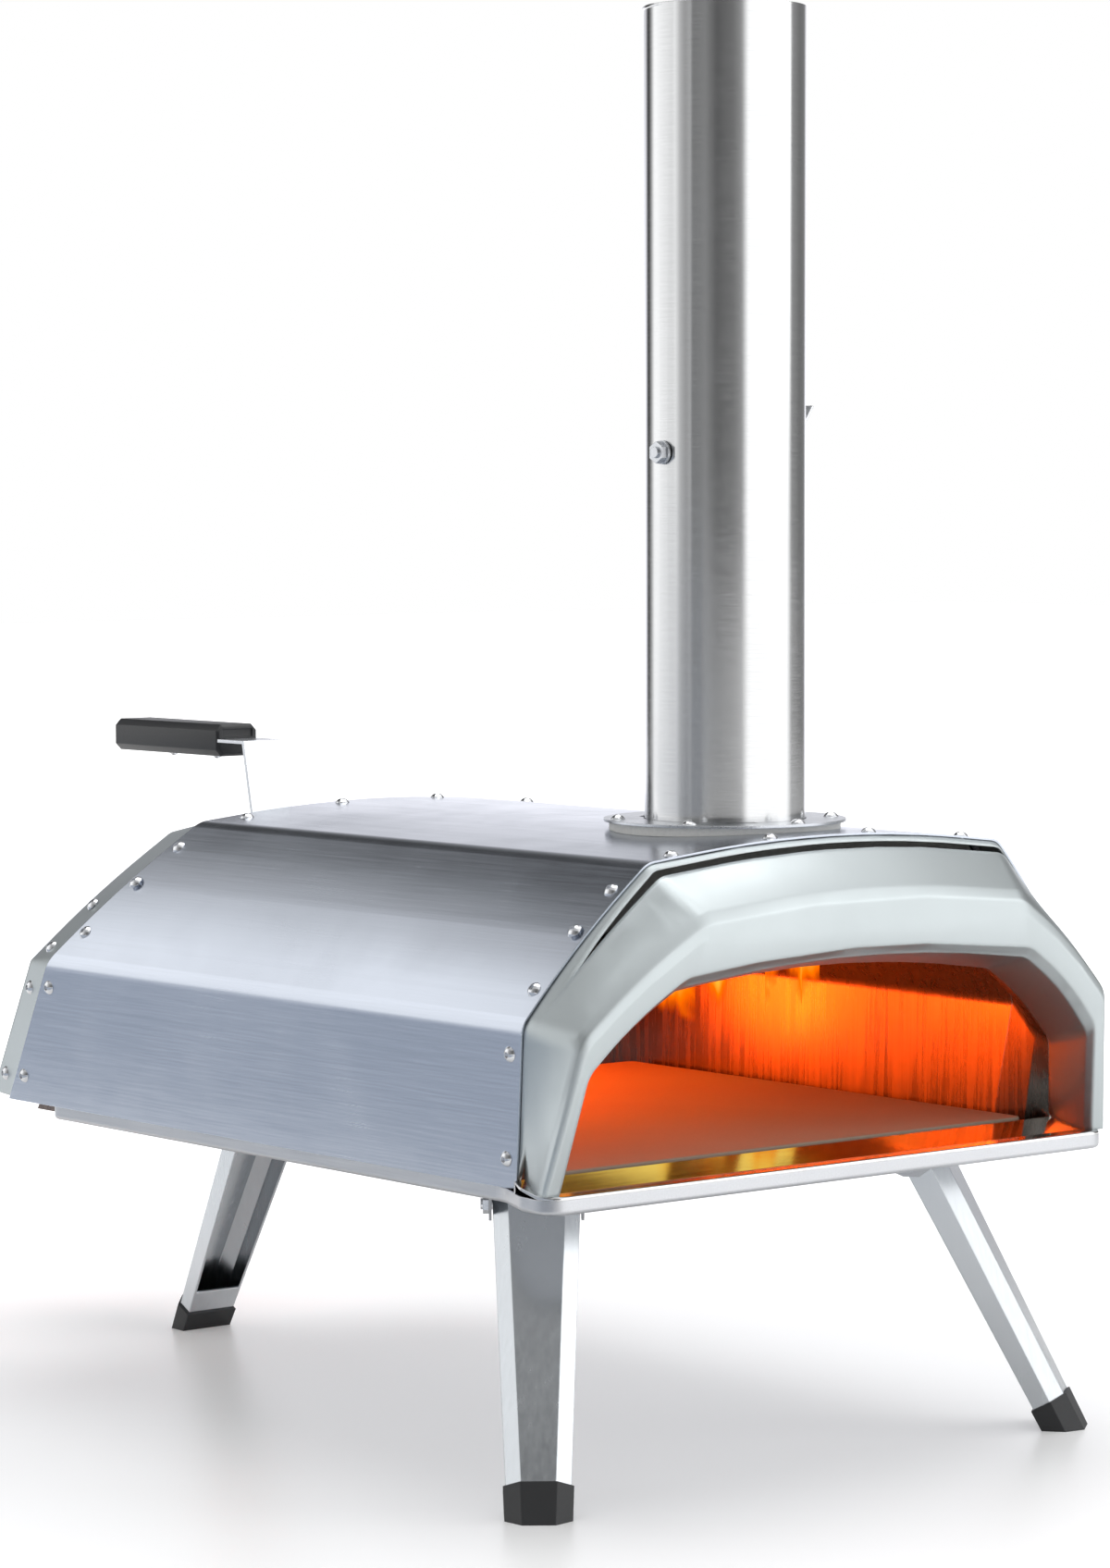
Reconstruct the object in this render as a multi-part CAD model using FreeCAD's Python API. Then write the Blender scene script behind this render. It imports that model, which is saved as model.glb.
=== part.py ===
import FreeCAD, Part
import math
import os

# Wood fired pizza oven on three folding legs, in millimetres.
# +X is the oven's right seen from its mouth, the mouth faces -Y, +Z is up and the floor is z = 0.
# Pieces are drawn with y = 0 at the casing's front edge at the top bend, and are moved along Y at the
# end, so that the origin is under the middle of the whole oven.

Vec = FreeCAD.Vector

# ---------------------------------------------------------------- driving dimensions
# casing: an eight-sided tunnel with an arched roof and raked ends
SHELL_BASE_Z = 170.0
SHELL_BASE_HALF = 190.0
SHELL_LOW_BEND = (200.0, 258.0)
SHELL_TOP_BEND = (128.0, 340.0)
SHELL_CREST_Z = 351.5
SHELL_ROOF_ARCH = 2.8
SHELL_CHAMFER_BOW = 2.5
SHELL_BEND_R = 14.0
SHELL_ROOF_LENGTH = 406.0
SHELL_WALL = 1.2
SHELL_FLANGE = 7.5
FRONT_RAKE = 0.194
REAR_RAKE = 0.665

# front bezel, a deep pressed frame parallel to the casing's front edge
BEZEL_WALL = 1.6
BEZEL_TUCK = 16.0
BEZEL_DEPTH = 41.5
BEZEL_ROUND = 0.17
RIDGE_HALF = [(207.0, 172.0), (191.0, 254.0), (115.0, 309.5), (0.0, 319.0)]
FACE_HALF = [(195.5, 172.0), (184.0, 231.0), (127.0, 277.5), (0.0, 289.0)]
MOUTH_HALF = [(196.5, 172.0), (184.0, 222.0), (126.0, 267.5), (0.0, 281.5)]
MOUTH_SETBACK = 8.0

# rear bezel
REAR_BEZEL_DEPTH = 30.0
REAR_BEZEL_DRAFT = 7.0
REAR_BEZEL_RETURN = 16.0

# oven chamber
CHAMBER_WALL = 1.0
CHAMBER_HALF = [(181.0, 165.2), (183.0, 242.0), (128.0, 300.0), (0.0, 318.0)]
CHAMBER_FRONT_GAP = 24.0
CHAMBER_REAR_GAP = 22.0
BLANKET_GAP = 0.6

# base pan and floor
PAN_BOTTOM_Z = 162.0
PAN_WALL = 1.2
PAN_FRONT_Y = -13.0
PAN_REAR_Y = 478.0
PAN_FRONT_HALF = 205.0
PAN_REAR_HALF = 188.0
PAN_CORNER_R = 13.0
FLOOR_T = 1.2
LIP_TOP_Z = 172.0
LIP_RISE = 4.5
LIP_T = 1.5
STONE_SIZE = (350.0, 345.0, 10.0)
STONE_TOP_Z = 178.0
STONE_FRONT_Y = 26.0
RAIL_WIDTH = 14.0

# flue and chimney
FLUE_Y = 84.3
CHIMNEY_R = 44.5
CHIMNEY_WALL = 0.9
CHIMNEY_TOP_Z = 798.0
CHIMNEY_SEAT_Z = 337.8
FLANGE_R = 67.0
FLANGE_T = 1.5
FLANGE_SCREW_R = 60.0
FLANGE_GAP = 0.6
LUG_REACH = 3.0
LUG_HALF_ANGLE = 9.0
CHIMNEY_TWIST = 30.0
DAMPER_Z = 554.6
DAMPER_SHAFT_R = 3.0
DAMPER_GAP = 1.0

# fire box, hatch and tray behind the oven
BOX_HALF = 60.0
BOX_WALL = 1.2
FLANGE_MARGIN = 14.0
FIRE_DOOR_MARGIN = 4.0
BOX_REAR_Y = 690.0
BOX_BACK_Y = 668.0
BOX_TOP_AT = (493.0, 264.0)
HATCH_SLOPE = 11.6
HATCH_START = 9.0
HATCH_SIZE = (112.0, 110.0)
HATCH_FRAME_H = 4.0
HATCH_RIM = 11.0
STRAP_WIDTH = 31.0
STRAP_T = 2.0
STRAP_TOP_Z = 379.0
GRIP_LENGTH = 115.0
GRIP_SIZE = (31.0, 20.0)
GRIP_REACH = 28.0
TRAY_HALF = 48.0
TRAY_HEIGHT = 24.0
TRAY_LENGTH = 176.0
TRAY_HANDLE_REACH = 36.0

# legs
LEG_SPLAY = 27.5
LEG_REACH = 175.0
LEG_TOP_SIZE = (47.0, 22.0)
LEG_END_SIZE = (33.0, 18.0)
LEG_WALL = 1.5
LEG_CHAMFER = 8.0
LEG_CLOSED = 34.0
LEG_INSIDE = 6.0
LEG_END_INSIDE = 4.0
FOOT_HEIGHT = 18.0
FOOT_WALL = 1.4
PIVOT_Z = 153.0
PIVOT_R = 3.0
PIVOT_FIT = 0.06
FRONT_FOOT = (194.0, 10.0)
REAR_FOOT_Y = 597.0
FRONT_LEG_TURN = 51.5
BRACKET_T = 1.5
BRACKET_GAP = 0.5

# fasteners
SCREW_HEAD_R = 4.3
SCREW_HEAD_H = 2.6
SCREW_SHANK_R = 2.0
SCREW_FIT = 0.05
SMALL_HEAD_R = 3.2

# ---------------------------------------------------------------- sizes worked out
FLANGE_Z = SHELL_CREST_Z + 0.4
SPIGOT_R = CHIMNEY_R + LUG_REACH + FLANGE_GAP
SPIGOT_WALL = 1.2
SPIGOT_OUT_R = SPIGOT_R + SPIGOT_WALL
STONE_BASE_Z = STONE_TOP_Z - STONE_SIZE[2]
FLOOR_Z = PAN_BOTTOM_Z + PAN_WALL + 0.8
HATCH_TAN = math.tan(math.radians(HATCH_SLOPE))
SIDE = 400.0


# ---------------------------------------------------------------- drawing helpers
def rounded_wire(points, radii):
    """Closed wire through 3-D points, each corner rounded to its radius by a tangent arc."""
    count = len(points)
    starts, ends, mids = [], [], []
    for i in range(count):
        corner = points[i]
        back = (points[i - 1] - corner).normalize()
        ahead = (points[(i + 1) % count] - corner).normalize()
        radius = radii[i]
        if radius <= 0:
            starts.append(corner)
            ends.append(corner)
            mids.append(None)
            continue
        half = back.getAngle(ahead) / 2
        run = radius / math.tan(half)
        middle = (back + ahead).normalize()
        starts.append(corner + back * run)
        ends.append(corner + ahead * run)
        mids.append(corner + middle * (radius / math.sin(half) - radius))
    edges = []
    for i in range(count):
        if mids[i] is not None:
            edges.append(Part.Arc(starts[i], mids[i], ends[i]).toShape())
        after = starts[(i + 1) % count]
        if ends[i].distanceToPoint(after) > 1e-6:
            edges.append(Part.LineSegment(ends[i], after).toShape())
    return Part.Wire(edges)


def mirrored(half):
    """Whole outline from its right half, given from the base up to the crest on the centre line."""
    return half + [(-corner[0],) + tuple(corner[1:]) for corner in reversed(half[:-1])]


def inset(corners, distance):
    """Outline moved inwards by a distance, with its corner radii made to suit."""
    moved = []
    count = len(corners)
    for i in range(count):
        x, z, radius = corners[i]
        before = corners[i - 1]
        after = corners[(i + 1) % count]
        normals = []
        for start, end in ((before, corners[i]), (corners[i], after)):
            length = math.hypot(end[0] - start[0], end[1] - start[1])
            normals.append((-(end[1] - start[1]) / length, (end[0] - start[0]) / length))
        share = 1 + normals[0][0] * normals[1][0] + normals[0][1] * normals[1][1]
        dx = distance * (normals[0][0] + normals[1][0]) / share
        dz = distance * (normals[0][1] + normals[1][1]) / share
        new_radius = max(radius - distance, 0.5) if radius > 0 else 0
        moved.append((x + dx, z + dz, new_radius))
    return moved


def bowed_outline(half, low_r, top_r, bow=SHELL_CHAMFER_BOW):
    """Outline with a bowed shoulder and an arched roof, from its base, low bend, top bend and crest."""
    base, low, top, crest = half
    run = math.hypot(low[0] - top[0], top[1] - low[1])
    out_x = (top[1] - low[1]) / run
    out_z = (low[0] - top[0]) / run
    middle = ((low[0] + top[0]) / 2 + out_x * bow * 2, (low[1] + top[1]) / 2 + out_z * bow * 2)
    bow_radius = 0.36 * run * run / (4 * bow)
    rise = crest[1] - top[1] + SHELL_ROOF_ARCH
    arch_radius = 0.76 * top[0] * top[0] / rise
    corners = [(base[0], base[1], 0), (low[0], low[1], low_r), (middle[0], middle[1], bow_radius),
               (top[0], top[1], top_r), (0.0, crest[1] + SHELL_ROOF_ARCH, arch_radius)]
    return mirrored(corners)


def shell_outline():
    """Outside of the casing's section: walls, bowed shoulders and arched roof."""
    half = [(SHELL_BASE_HALF, SHELL_BASE_Z), SHELL_LOW_BEND, SHELL_TOP_BEND, (0.0, SHELL_CREST_Z)]
    return bowed_outline(half, SHELL_BEND_R, SHELL_BEND_R)


def front_y(z, offset=0.0):
    return FRONT_RAKE * (SHELL_TOP_BEND[1] - z) + offset


def rear_y(z, offset=0.0):
    return SHELL_ROOF_LENGTH + REAR_RAKE * (SHELL_TOP_BEND[1] - z) + offset


def tunnel(corners, start=-250.0, end=900.0):
    """Straight prism of an outline along Y."""
    points = [Vec(x, start, z) for x, z, r in corners]
    face = Part.Face(rounded_wire(points, [r for x, z, r in corners]))
    return face.extrude(Vec(0, end - start, 0))


def side_plate(points, half_width, centre_x=0.0):
    """Prism across X of a (y, z) polygon."""
    corners = [Vec(centre_x - half_width, y, z) for y, z in points]
    face = Part.Face(Part.makePolygon(corners + [corners[0]]))
    return face.extrude(Vec(2 * half_width, 0, 0))


def between(front, rear, low=-50.0, high=500.0):
    """Everything between the raked front plane and the raked rear plane, each moved by its offset."""
    points = [(front_y(low, front), low), (rear_y(low, rear), low),
              (rear_y(high, rear), high), (front_y(high, front), high)]
    return side_plate(points, SIDE)


def rear_slice(offset, thickness, low=100.0, high=420.0):
    """A flat slice parallel to the raked rear plane."""
    points = [(rear_y(low, offset), low), (rear_y(low, offset + thickness), low),
              (rear_y(high, offset + thickness), high), (rear_y(high, offset), high)]
    return side_plate(points, SIDE)


def station(corners, plane_y, offset):
    """Closed wire of an outline laid on a raked plane."""
    points = [Vec(x, plane_y(z, offset), z) for x, z, r in corners]
    return rounded_wire(points, [r for x, z, r in corners])


def loft(stations):
    return Part.makeLoft(stations, True, True)


def between_outlines(first, second, share):
    """Outline part of the way from one outline to another."""
    return [tuple(a + (b - a) * share for a, b in zip(one, two)) for one, two in zip(first, second)]


def box(x0, x1, y0, y1, z0, z1):
    return Part.makeBox(x1 - x0, y1 - y0, z1 - z0, Vec(x0, y0, z0))


def cylinder(radius, start, direction, length):
    return Part.makeCylinder(radius, length, start, direction)


def ring(outer, inner, z0, height, centre_y=FLUE_Y):
    base = Vec(0, centre_y, z0)
    up = Vec(0, 0, 1)
    return cylinder(outer, base, up, height).cut(cylinder(inner, base, up, height))


def joined(pieces):
    shape = pieces[0]
    for piece in pieces[1:]:
        shape = shape.fuse(piece)
    return shape.removeSplitter()


def turned(shape, angle, axis=Vec(0, 0, 1), centre=Vec(0, 0, 0)):
    copy = shape.copy()
    copy.rotate(centre, axis, angle)
    return copy


def placed(shape, point, direction):
    """Copy of a shape drawn along +Z, with its origin at a point and its axis along a direction."""
    copy = shape.copy()
    copy.Placement = FreeCAD.Placement(point, FreeCAD.Rotation(Vec(0, 0, 1), direction))
    return copy


# ---------------------------------------------------------------- fasteners
def button_screw(head_r=SCREW_HEAD_R, length=8.0):
    """Button-head screw with a hexagon socket; its seat is z = 0 and its shank points down."""
    up = Vec(0, 0, 1)
    dome_r = (head_r ** 2 + SCREW_HEAD_H ** 2) / (2 * SCREW_HEAD_H)
    dome = Part.makeSphere(dome_r, Vec(0, 0, SCREW_HEAD_H - dome_r))
    head = dome.common(cylinder(head_r + 1, Vec(0, 0, 0), up, SCREW_HEAD_H + 1))
    shank = cylinder(SCREW_SHANK_R, Vec(0, 0, -length), up, length)
    socket = hexagon(head_r * 0.42, SCREW_HEAD_H - 1.5, 3.0)
    return head.fuse(shank).cut(socket)


def hexagon(circle_r, z0, height):
    corners = [Vec(circle_r * math.cos(math.radians(60 * i)), circle_r * math.sin(math.radians(60 * i)), z0)
               for i in range(6)]
    return Part.Face(Part.makePolygon(corners + [corners[0]])).extrude(Vec(0, 0, height))


def screw_group(seats, head_r=SCREW_HEAD_R, length=8.0):
    master = button_screw(head_r, length)
    return Part.makeCompound([placed(master, point, normal) for point, normal in seats])


def both_sides(group):
    """The left side's solids of a group, and their mirror images."""
    left = [solid for solid in group.Solids if solid.CenterOfMass.x < 0]
    return Part.makeCompound(left + [solid.mirror(Vec(0, 0, 0), Vec(1, 0, 0)) for solid in left])


def holes_for(seats, length=12.0):
    """Clearance holes under a set of screw seats."""
    drill = cylinder(SCREW_SHANK_R + SCREW_FIT, Vec(0, 0, -length), Vec(0, 0, 1), length + 6)
    return Part.makeCompound([placed(drill, point, normal) for point, normal in seats])


def seats_on(outline, plane_y, offset, places):
    """Screw seats on an outline: each place is (edge of the right half, share along it)."""
    seats = []
    for corner, share in places:
        x0, z0, r0 = outline[corner]
        x1, z1, r1 = outline[corner + 1]
        length = math.hypot(x1 - x0, z1 - z0)
        normal = Vec((z1 - z0) / length, 0, -(x1 - x0) / length)
        x = x0 + (x1 - x0) * share
        z = z0 + (z1 - z0) * share
        seats.append((Vec(x, plane_y(z, offset), z), normal))
        seats.append((Vec(-x, plane_y(z, offset), z), Vec(-normal.x, 0, normal.z)))
    return seats


def roof_seats(plane_y, offset, positions, surface):
    """Screw seats on the arched roof, found where an upright line meets the casing."""
    seats = []
    for x in positions:
        heights = []
        for probe in (x - 1.5, x, x + 1.5):
            y = plane_y(SHELL_CREST_Z, offset)
            line = Part.makeLine(Vec(probe, y, 300), Vec(probe, y, 400))
            heights.append(line.common(surface).BoundBox.ZMax)
        normal = Vec(heights[0] - heights[2], 0, 3.0).normalize()
        seats.append((Vec(x, plane_y(SHELL_CREST_Z, offset), heights[1]), normal))
    return seats


SHELL = shell_outline()
SHELL_BLOCK = tunnel(SHELL)
WALL_PLACES = [(0, 0.18), (0, 0.82), (1, 0.40), (2, 0.08), (2, 0.62)]
ROOF_PLACES = (-106.0, -36.0, 36.0, 106.0)
FRONT_SEATS = seats_on(SHELL, front_y, 9.0, WALL_PLACES) + roof_seats(front_y, 9.0, ROOF_PLACES, SHELL_BLOCK)
REAR_SEATS = seats_on(SHELL, rear_y, -9.0, WALL_PLACES) + roof_seats(rear_y, -9.0, ROOF_PLACES, SHELL_BLOCK)
FLANGE_SEATS = [(Vec(FLANGE_SCREW_R * math.cos(math.radians(30 + 60 * i)),
                     FLUE_Y + FLANGE_SCREW_R * math.sin(math.radians(30 + 60 * i)),
                     FLANGE_Z + FLANGE_T), Vec(0, 0, 1)) for i in range(6)]


# ---------------------------------------------------------------- casing
def outer_shell():
    """Casing sheet with a turned-in flange along each bottom edge and a hole for the flue."""
    inner = tunnel(inset(SHELL, SHELL_WALL))
    half = SHELL_BASE_HALF - SHELL_FLANGE
    gap = box(-half, half, -250, 900, SHELL_BASE_Z - 5, SHELL_BASE_Z + 5)
    sheet = SHELL_BLOCK.cut(inner).common(between(0, 0)).cut(gap)
    flue = cylinder(SPIGOT_OUT_R + 0.7, Vec(0, FLUE_Y, 300), Vec(0, 0, 1), 100)
    drills = [flue, holes_for(FRONT_SEATS), holes_for(REAR_SEATS), holes_for(FLANGE_SEATS)]
    return sheet.cut(Part.makeCompound(drills))


def bezel_outlines():
    """Edge, ridge, face and mouth outlines of the front bezel, corner for corner."""
    edge = level_base(inset(SHELL, SHELL_WALL + 0.3), LIP_TOP_Z)
    ridge = bowed_outline(RIDGE_HALF, 22.0, 24.0)
    face = bowed_outline(FACE_HALF, 16.0, 18.0)
    mouth = bowed_outline(MOUTH_HALF, 12.0, 12.0)
    return edge, ridge, face, mouth


def level_base(corners, z):
    """Outline with its two base corners brought down to one level."""
    level = list(corners)
    for i in (0, len(corners) - 1):
        level[i] = (corners[i][0], z, corners[i][2])
    return level


def bezel_block(shrink, setback):
    """Solid filled bezel: straight tuck, sloping band and rounded ridge, shrunk for its inside."""
    edge, ridge, face, mouth = bezel_outlines()
    depth = BEZEL_DEPTH - setback
    edge = level_base(inset(edge, shrink), LIP_TOP_Z - shrink * 3)
    ridge = level_base(inset(ridge, shrink), LIP_TOP_Z - shrink * 3)
    face = level_base(inset(face, shrink), LIP_TOP_Z - shrink * 3)
    near = between_outlines(edge, ridge, 1 - BEZEL_ROUND)
    past = between_outlines(ridge, face, BEZEL_ROUND * 1.6)
    middle = between_outlines(between_outlines(near, past, 0.5), ridge, 0.5)
    tuck = BEZEL_TUCK + (3.0 if shrink else 0.0)
    return loft([station(edge, front_y, tuck),
                 station(edge, front_y, 0.0),
                 station(near, front_y, -depth * (1 - BEZEL_ROUND)),
                 station(middle, front_y, -depth * (1 - BEZEL_ROUND * 0.28)),
                 station(past, front_y, -depth)])


def bezel_throat(grow):
    """Tapered opening from the bezel's face back to the mouth, with a rounded front edge."""
    edge, ridge, face, mouth = bezel_outlines()
    low = LIP_TOP_Z - 12.0
    wide = level_base(inset(between_outlines(face, ridge, 0.16), -grow), low)
    lead = level_base(inset(face, -grow), low)
    inner = level_base(inset(mouth, -grow), low)
    soft = between_outlines(wide, between_outlines(lead, inner, 0.16), 0.35)
    early = between_outlines(lead, inner, 0.16)
    depth = BEZEL_DEPTH
    return loft([station(wide, front_y, -depth - 0.6),
                 station(soft, front_y, -depth + 1.6),
                 station(early, front_y, -depth + 5.4),
                 station(inner, front_y, -MOUTH_SETBACK + 0.2)])


def lip_block():
    """Room that the lip's ramp takes out of the pieces standing on it."""
    points = [(PAN_FRONT_Y - 30, LIP_TOP_Z - 20), (PAN_FRONT_Y - 30, LIP_TOP_Z),
              (-2.0, LIP_TOP_Z), (STONE_FRONT_Y - 2, LIP_TOP_Z + LIP_RISE), (STONE_FRONT_Y - 2, LIP_TOP_Z - 20)]
    return side_plate(points, SIDE)


def front_bezel():
    """Pressed front frame: the filled form less its throat and less the hollow behind it."""
    filled = bezel_block(0.0, 0.0)
    hollow = bezel_block(BEZEL_WALL, BEZEL_WALL).cut(bezel_throat(BEZEL_WALL))
    body = filled.cut(bezel_throat(0.0)).cut(hollow)
    behind = between(-MOUTH_SETBACK, 0).common(tunnel(inset(bezel_outlines()[0], 3.0)))
    body = body.cut(behind).cut(lip_block()).cut(collar_sleeve(CHAMBER_WALL))
    return body.cut(holes_for(FRONT_SEATS))


def rear_profile(shrink=0.0):
    """Section of the rear bezel, which starts just inside the casing."""
    return level_base(inset(SHELL, SHELL_WALL + 0.3 + shrink), SHELL_BASE_Z + 1.5)


REAR_BAND_PLACES = [(0, 0.15), (0, 0.80), (1, 0.20), (1, 0.80)]


def rear_band_seats():
    """Screw seats on the rear bezel's sloping band."""
    seats = []
    share = 0.62
    first = seats_on(rear_profile(), rear_y, 0.0, REAR_BAND_PLACES)
    last = seats_on(rear_profile(REAR_BEZEL_DRAFT), rear_y, REAR_BEZEL_DEPTH, REAR_BAND_PLACES)
    for (start, normal), (end, last_normal) in zip(first, last):
        along = Vec(normal.z, -REAR_RAKE * -normal.x, -normal.x)
        outward = along.cross(end - start).normalize()
        if outward.dot(normal) < 0:
            outward = outward * -1
        seats.append((start + (end - start) * share, outward))
    return seats


def rear_bezel():
    """Rear frame: tucked into the casing, drawn in towards its back and returned inwards."""
    def block(shrink, back):
        start = rear_profile(shrink)
        end = rear_profile(REAR_BEZEL_DRAFT + shrink)
        tuck = -BEZEL_TUCK - (2.0 if shrink else 0.0)
        return loft([station(start, rear_y, tuck), station(start, rear_y, 0.0),
                     station(end, rear_y, REAR_BEZEL_DEPTH - back)])
    opening = tunnel(inset(rear_profile(REAR_BEZEL_DRAFT), REAR_BEZEL_RETURN))
    opening = opening.common(between(200, REAR_BEZEL_DEPTH + 20))
    frame = block(0.0, 0.0).cut(block(BEZEL_WALL, BEZEL_WALL)).cut(opening)
    below = box(-SIDE, SIDE, 300, 900, 100, SHELL_BASE_Z + 1.5)
    gate = BOX_HALF + FLANGE_MARGIN + 0.5
    frame = frame.cut(box(-gate, gate, 300, 900, 100, SHELL_BASE_Z + 30))
    frame = frame.cut(below)
    left_half = frame.common(box(-SIDE, 0, 300, 900, 100, 500))
    for drill in holes_for(REAR_SEATS).Solids + holes_for(rear_band_seats(), 6.0).Solids:
        if drill.CenterOfMass.x < 0:
            left_half = left_half.cut(drill)
    return left_half.fuse(left_half.mirror(Vec(0, 0, 0), Vec(1, 0, 0))).removeSplitter()


def rear_panel():
    """Flat panel closing the back, just inside the rear bezel, notched for the fire box."""
    edge = inset(rear_profile(REAR_BEZEL_DRAFT), BEZEL_WALL + 1.2)
    start = REAR_BEZEL_DEPTH - BEZEL_WALL - 1.5
    panel = tunnel(edge).common(rear_slice(start, 1.2))
    notch = box(-BOX_HALF - 0.4, BOX_HALF + 0.4, 300, 900, 100, box_top_z(rear_y(265.0, start)) + 3.0)
    return panel.cut(notch)


# ---------------------------------------------------------------- chamber
def chamber_outline():
    return bowed_outline(CHAMBER_HALF, 8.0, 10.0)


def inner_chamber():
    """Stainless oven chamber: open in front, with a back wall that opens to the fire box."""
    outside = tunnel(inset(chamber_outline(), -CHAMBER_WALL))
    inside = tunnel(chamber_outline())
    block = outside.common(between(CHAMBER_FRONT_GAP, -CHAMBER_REAR_GAP))
    room = inside.common(between(CHAMBER_FRONT_GAP - 5, -CHAMBER_REAR_GAP - CHAMBER_WALL))
    floor_gap = box(-SIDE, SIDE, -100, 900, 100, CHAMBER_HALF[0][1])
    half = BOX_HALF - FIRE_DOOR_MARGIN
    fire = box(-half, half, 300, 900, FLOOR_Z + FLOOR_T + 2, box_top_z(440.0) - 12)
    flue = cylinder(SPIGOT_OUT_R + 0.3, Vec(0, FLUE_Y, 250), Vec(0, 0, 1), 100)
    return block.cut(room).cut(floor_gap).cut(fire).cut(flue)


def collar_sleeve(grow):
    """Solid form of the sleeve between mouth and chamber, grown by a wall."""
    edge, ridge, face, mouth = bezel_outlines()
    step_half = [(185.0, LIP_TOP_Z), (183.5, 226.0), (127.0, 270.0), (0.0, 283.5)]
    step = bowed_outline(step_half, 10.0, 11.0)
    back = level_base(chamber_outline(), LIP_TOP_Z)
    low = LIP_TOP_Z if grow else LIP_TOP_Z - 6
    slack = 0.0 if grow else 0.01
    lines = [level_base(inset(line, -grow), low) for line in (mouth, step, back)]
    return loft([station(lines[0], front_y, -MOUTH_SETBACK + 0.2 - slack),
                 station(lines[1], front_y, 3.0),
                 station(lines[2], front_y, CHAMBER_FRONT_GAP - 0.1 + slack)])


def mouth_collar():
    """Short flared sleeve from the bezel's mouth back to the chamber."""
    return collar_sleeve(CHAMBER_WALL).cut(collar_sleeve(0.0)).cut(lip_block())


def insulation_blanket():
    """Ceramic fibre between the chamber and the casing."""
    outside = tunnel(inset(SHELL, SHELL_WALL + BLANKET_GAP))
    inside = tunnel(inset(chamber_outline(), -CHAMBER_WALL - BLANKET_GAP))
    length = between(CHAMBER_FRONT_GAP + 1, -CHAMBER_REAR_GAP)
    below = box(-SIDE, SIDE, -100, 900, 100, SHELL_BASE_Z + SHELL_WALL + BLANKET_GAP)
    flue = cylinder(SPIGOT_OUT_R + 0.8, Vec(0, FLUE_Y, 250), Vec(0, 0, 1), 150)
    return outside.common(length).cut(inside).cut(below).cut(flue).cut(holes_for(FLANGE_SEATS))


# ---------------------------------------------------------------- base
def pan_plan(shrink, z):
    """Pan outline seen from above: wide rounded front under the bezel, narrower under the casing."""
    front_half = PAN_FRONT_HALF - shrink
    rear_half = PAN_REAR_HALF - shrink
    front = PAN_FRONT_Y + shrink
    rear = PAN_REAR_Y - shrink
    half = [(front_half, front, PAN_CORNER_R - shrink), (front_half - 2, 14.0, 12.0),
            (rear_half + 2, 44.0, 30.0), (rear_half, rear, 8.0)]
    corners = half + [(-x, y, r) for x, y, r in reversed(half)]
    return rounded_wire([Vec(x, y, z) for x, y, r in corners], [r for x, y, r in corners])


def base_pan():
    """Shallow steel pan that carries the casing."""
    height = SHELL_BASE_Z - PAN_BOTTOM_Z
    outside = Part.Face(pan_plan(0.0, PAN_BOTTOM_Z)).extrude(Vec(0, 0, height))
    bottom_edges = [edge for edge in outside.Edges if edge.BoundBox.ZMax < PAN_BOTTOM_Z + 0.01]
    outside = outside.makeFillet(2.5, bottom_edges)
    inside = Part.Face(pan_plan(PAN_WALL, PAN_BOTTOM_Z + PAN_WALL)).extrude(Vec(0, 0, height))
    reach = CHAMBER_HALF[0][0] + CHAMBER_WALL + 0.5
    rear_gap = box(-reach, reach, PAN_REAR_Y - 20, PAN_REAR_Y + 5, FLOOR_Z, SHELL_BASE_Z + 5)
    return outside.cut(inside).cut(rear_gap).cut(holes_for(bracket_screw_seats(), 6.0))


def lip_plate():
    """Polished front lip: a rounded nose over the pan's edge and a ramp up to the stone."""
    length = STONE_FRONT_Y - 2
    top = [(PAN_FRONT_Y, SHELL_BASE_Z), (PAN_FRONT_Y, LIP_TOP_Z), (-2.0, LIP_TOP_Z),
           (length, LIP_TOP_Z + LIP_RISE), (length, FLOOR_Z + FLOOR_T),
           (length - LIP_T, FLOOR_Z + FLOOR_T), (length - LIP_T, LIP_TOP_Z + LIP_RISE - LIP_T),
           (-2.0, SHELL_BASE_Z)]
    bar = side_plate(top, SIDE)
    plan = Part.Face(pan_plan(0.0, SHELL_BASE_Z - 8)).extrude(Vec(0, 0, 20))
    behind = box(-CHAMBER_HALF[0][0] + 1, CHAMBER_HALF[0][0] - 1, front_y(LIP_TOP_Z) - 40, 60, 100, 300)
    ahead = box(-SIDE, SIDE, -60, front_y(SHELL_BASE_Z, -MOUTH_SETBACK) - 0.5, 100, 300)
    plate = bar.common(plan).common(ahead.fuse(behind))
    inside = Part.Face(pan_plan(PAN_WALL + 0.2, SHELL_BASE_Z - 10)).extrude(Vec(0, 0, 10))
    low = box(-SIDE, SIDE, -60, 80, SHELL_BASE_Z - 10, SHELL_BASE_Z)
    plate = plate.cut(low.cut(inside))
    nose = [edge for edge in plate.Edges
            if edge.BoundBox.ZMin > LIP_TOP_Z - 0.01 and edge.BoundBox.ZMax < LIP_TOP_Z + 0.01
            and edge.BoundBox.YMax < PAN_FRONT_Y + 0.01]
    return plate.makeFillet(1.4, nose)


def chamber_floor():
    """Floor sheet under the stone."""
    half = CHAMBER_HALF[0][0] + CHAMBER_WALL
    return box(-half, half, STONE_FRONT_Y + 10, PAN_REAR_Y - 2, FLOOR_Z, FLOOR_Z + FLOOR_T)


def stone_rail(side):
    """Ledge that carries one edge of the stone."""
    outer = side * (STONE_SIZE[0] / 2 + 1.5)
    inner = outer - side * RAIL_WIDTH
    start = STONE_FRONT_Y + 12
    return box(min(outer, inner), max(outer, inner), start, STONE_FRONT_Y + STONE_SIZE[1] - 6,
               FLOOR_Z + FLOOR_T, STONE_BASE_Z)


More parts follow.
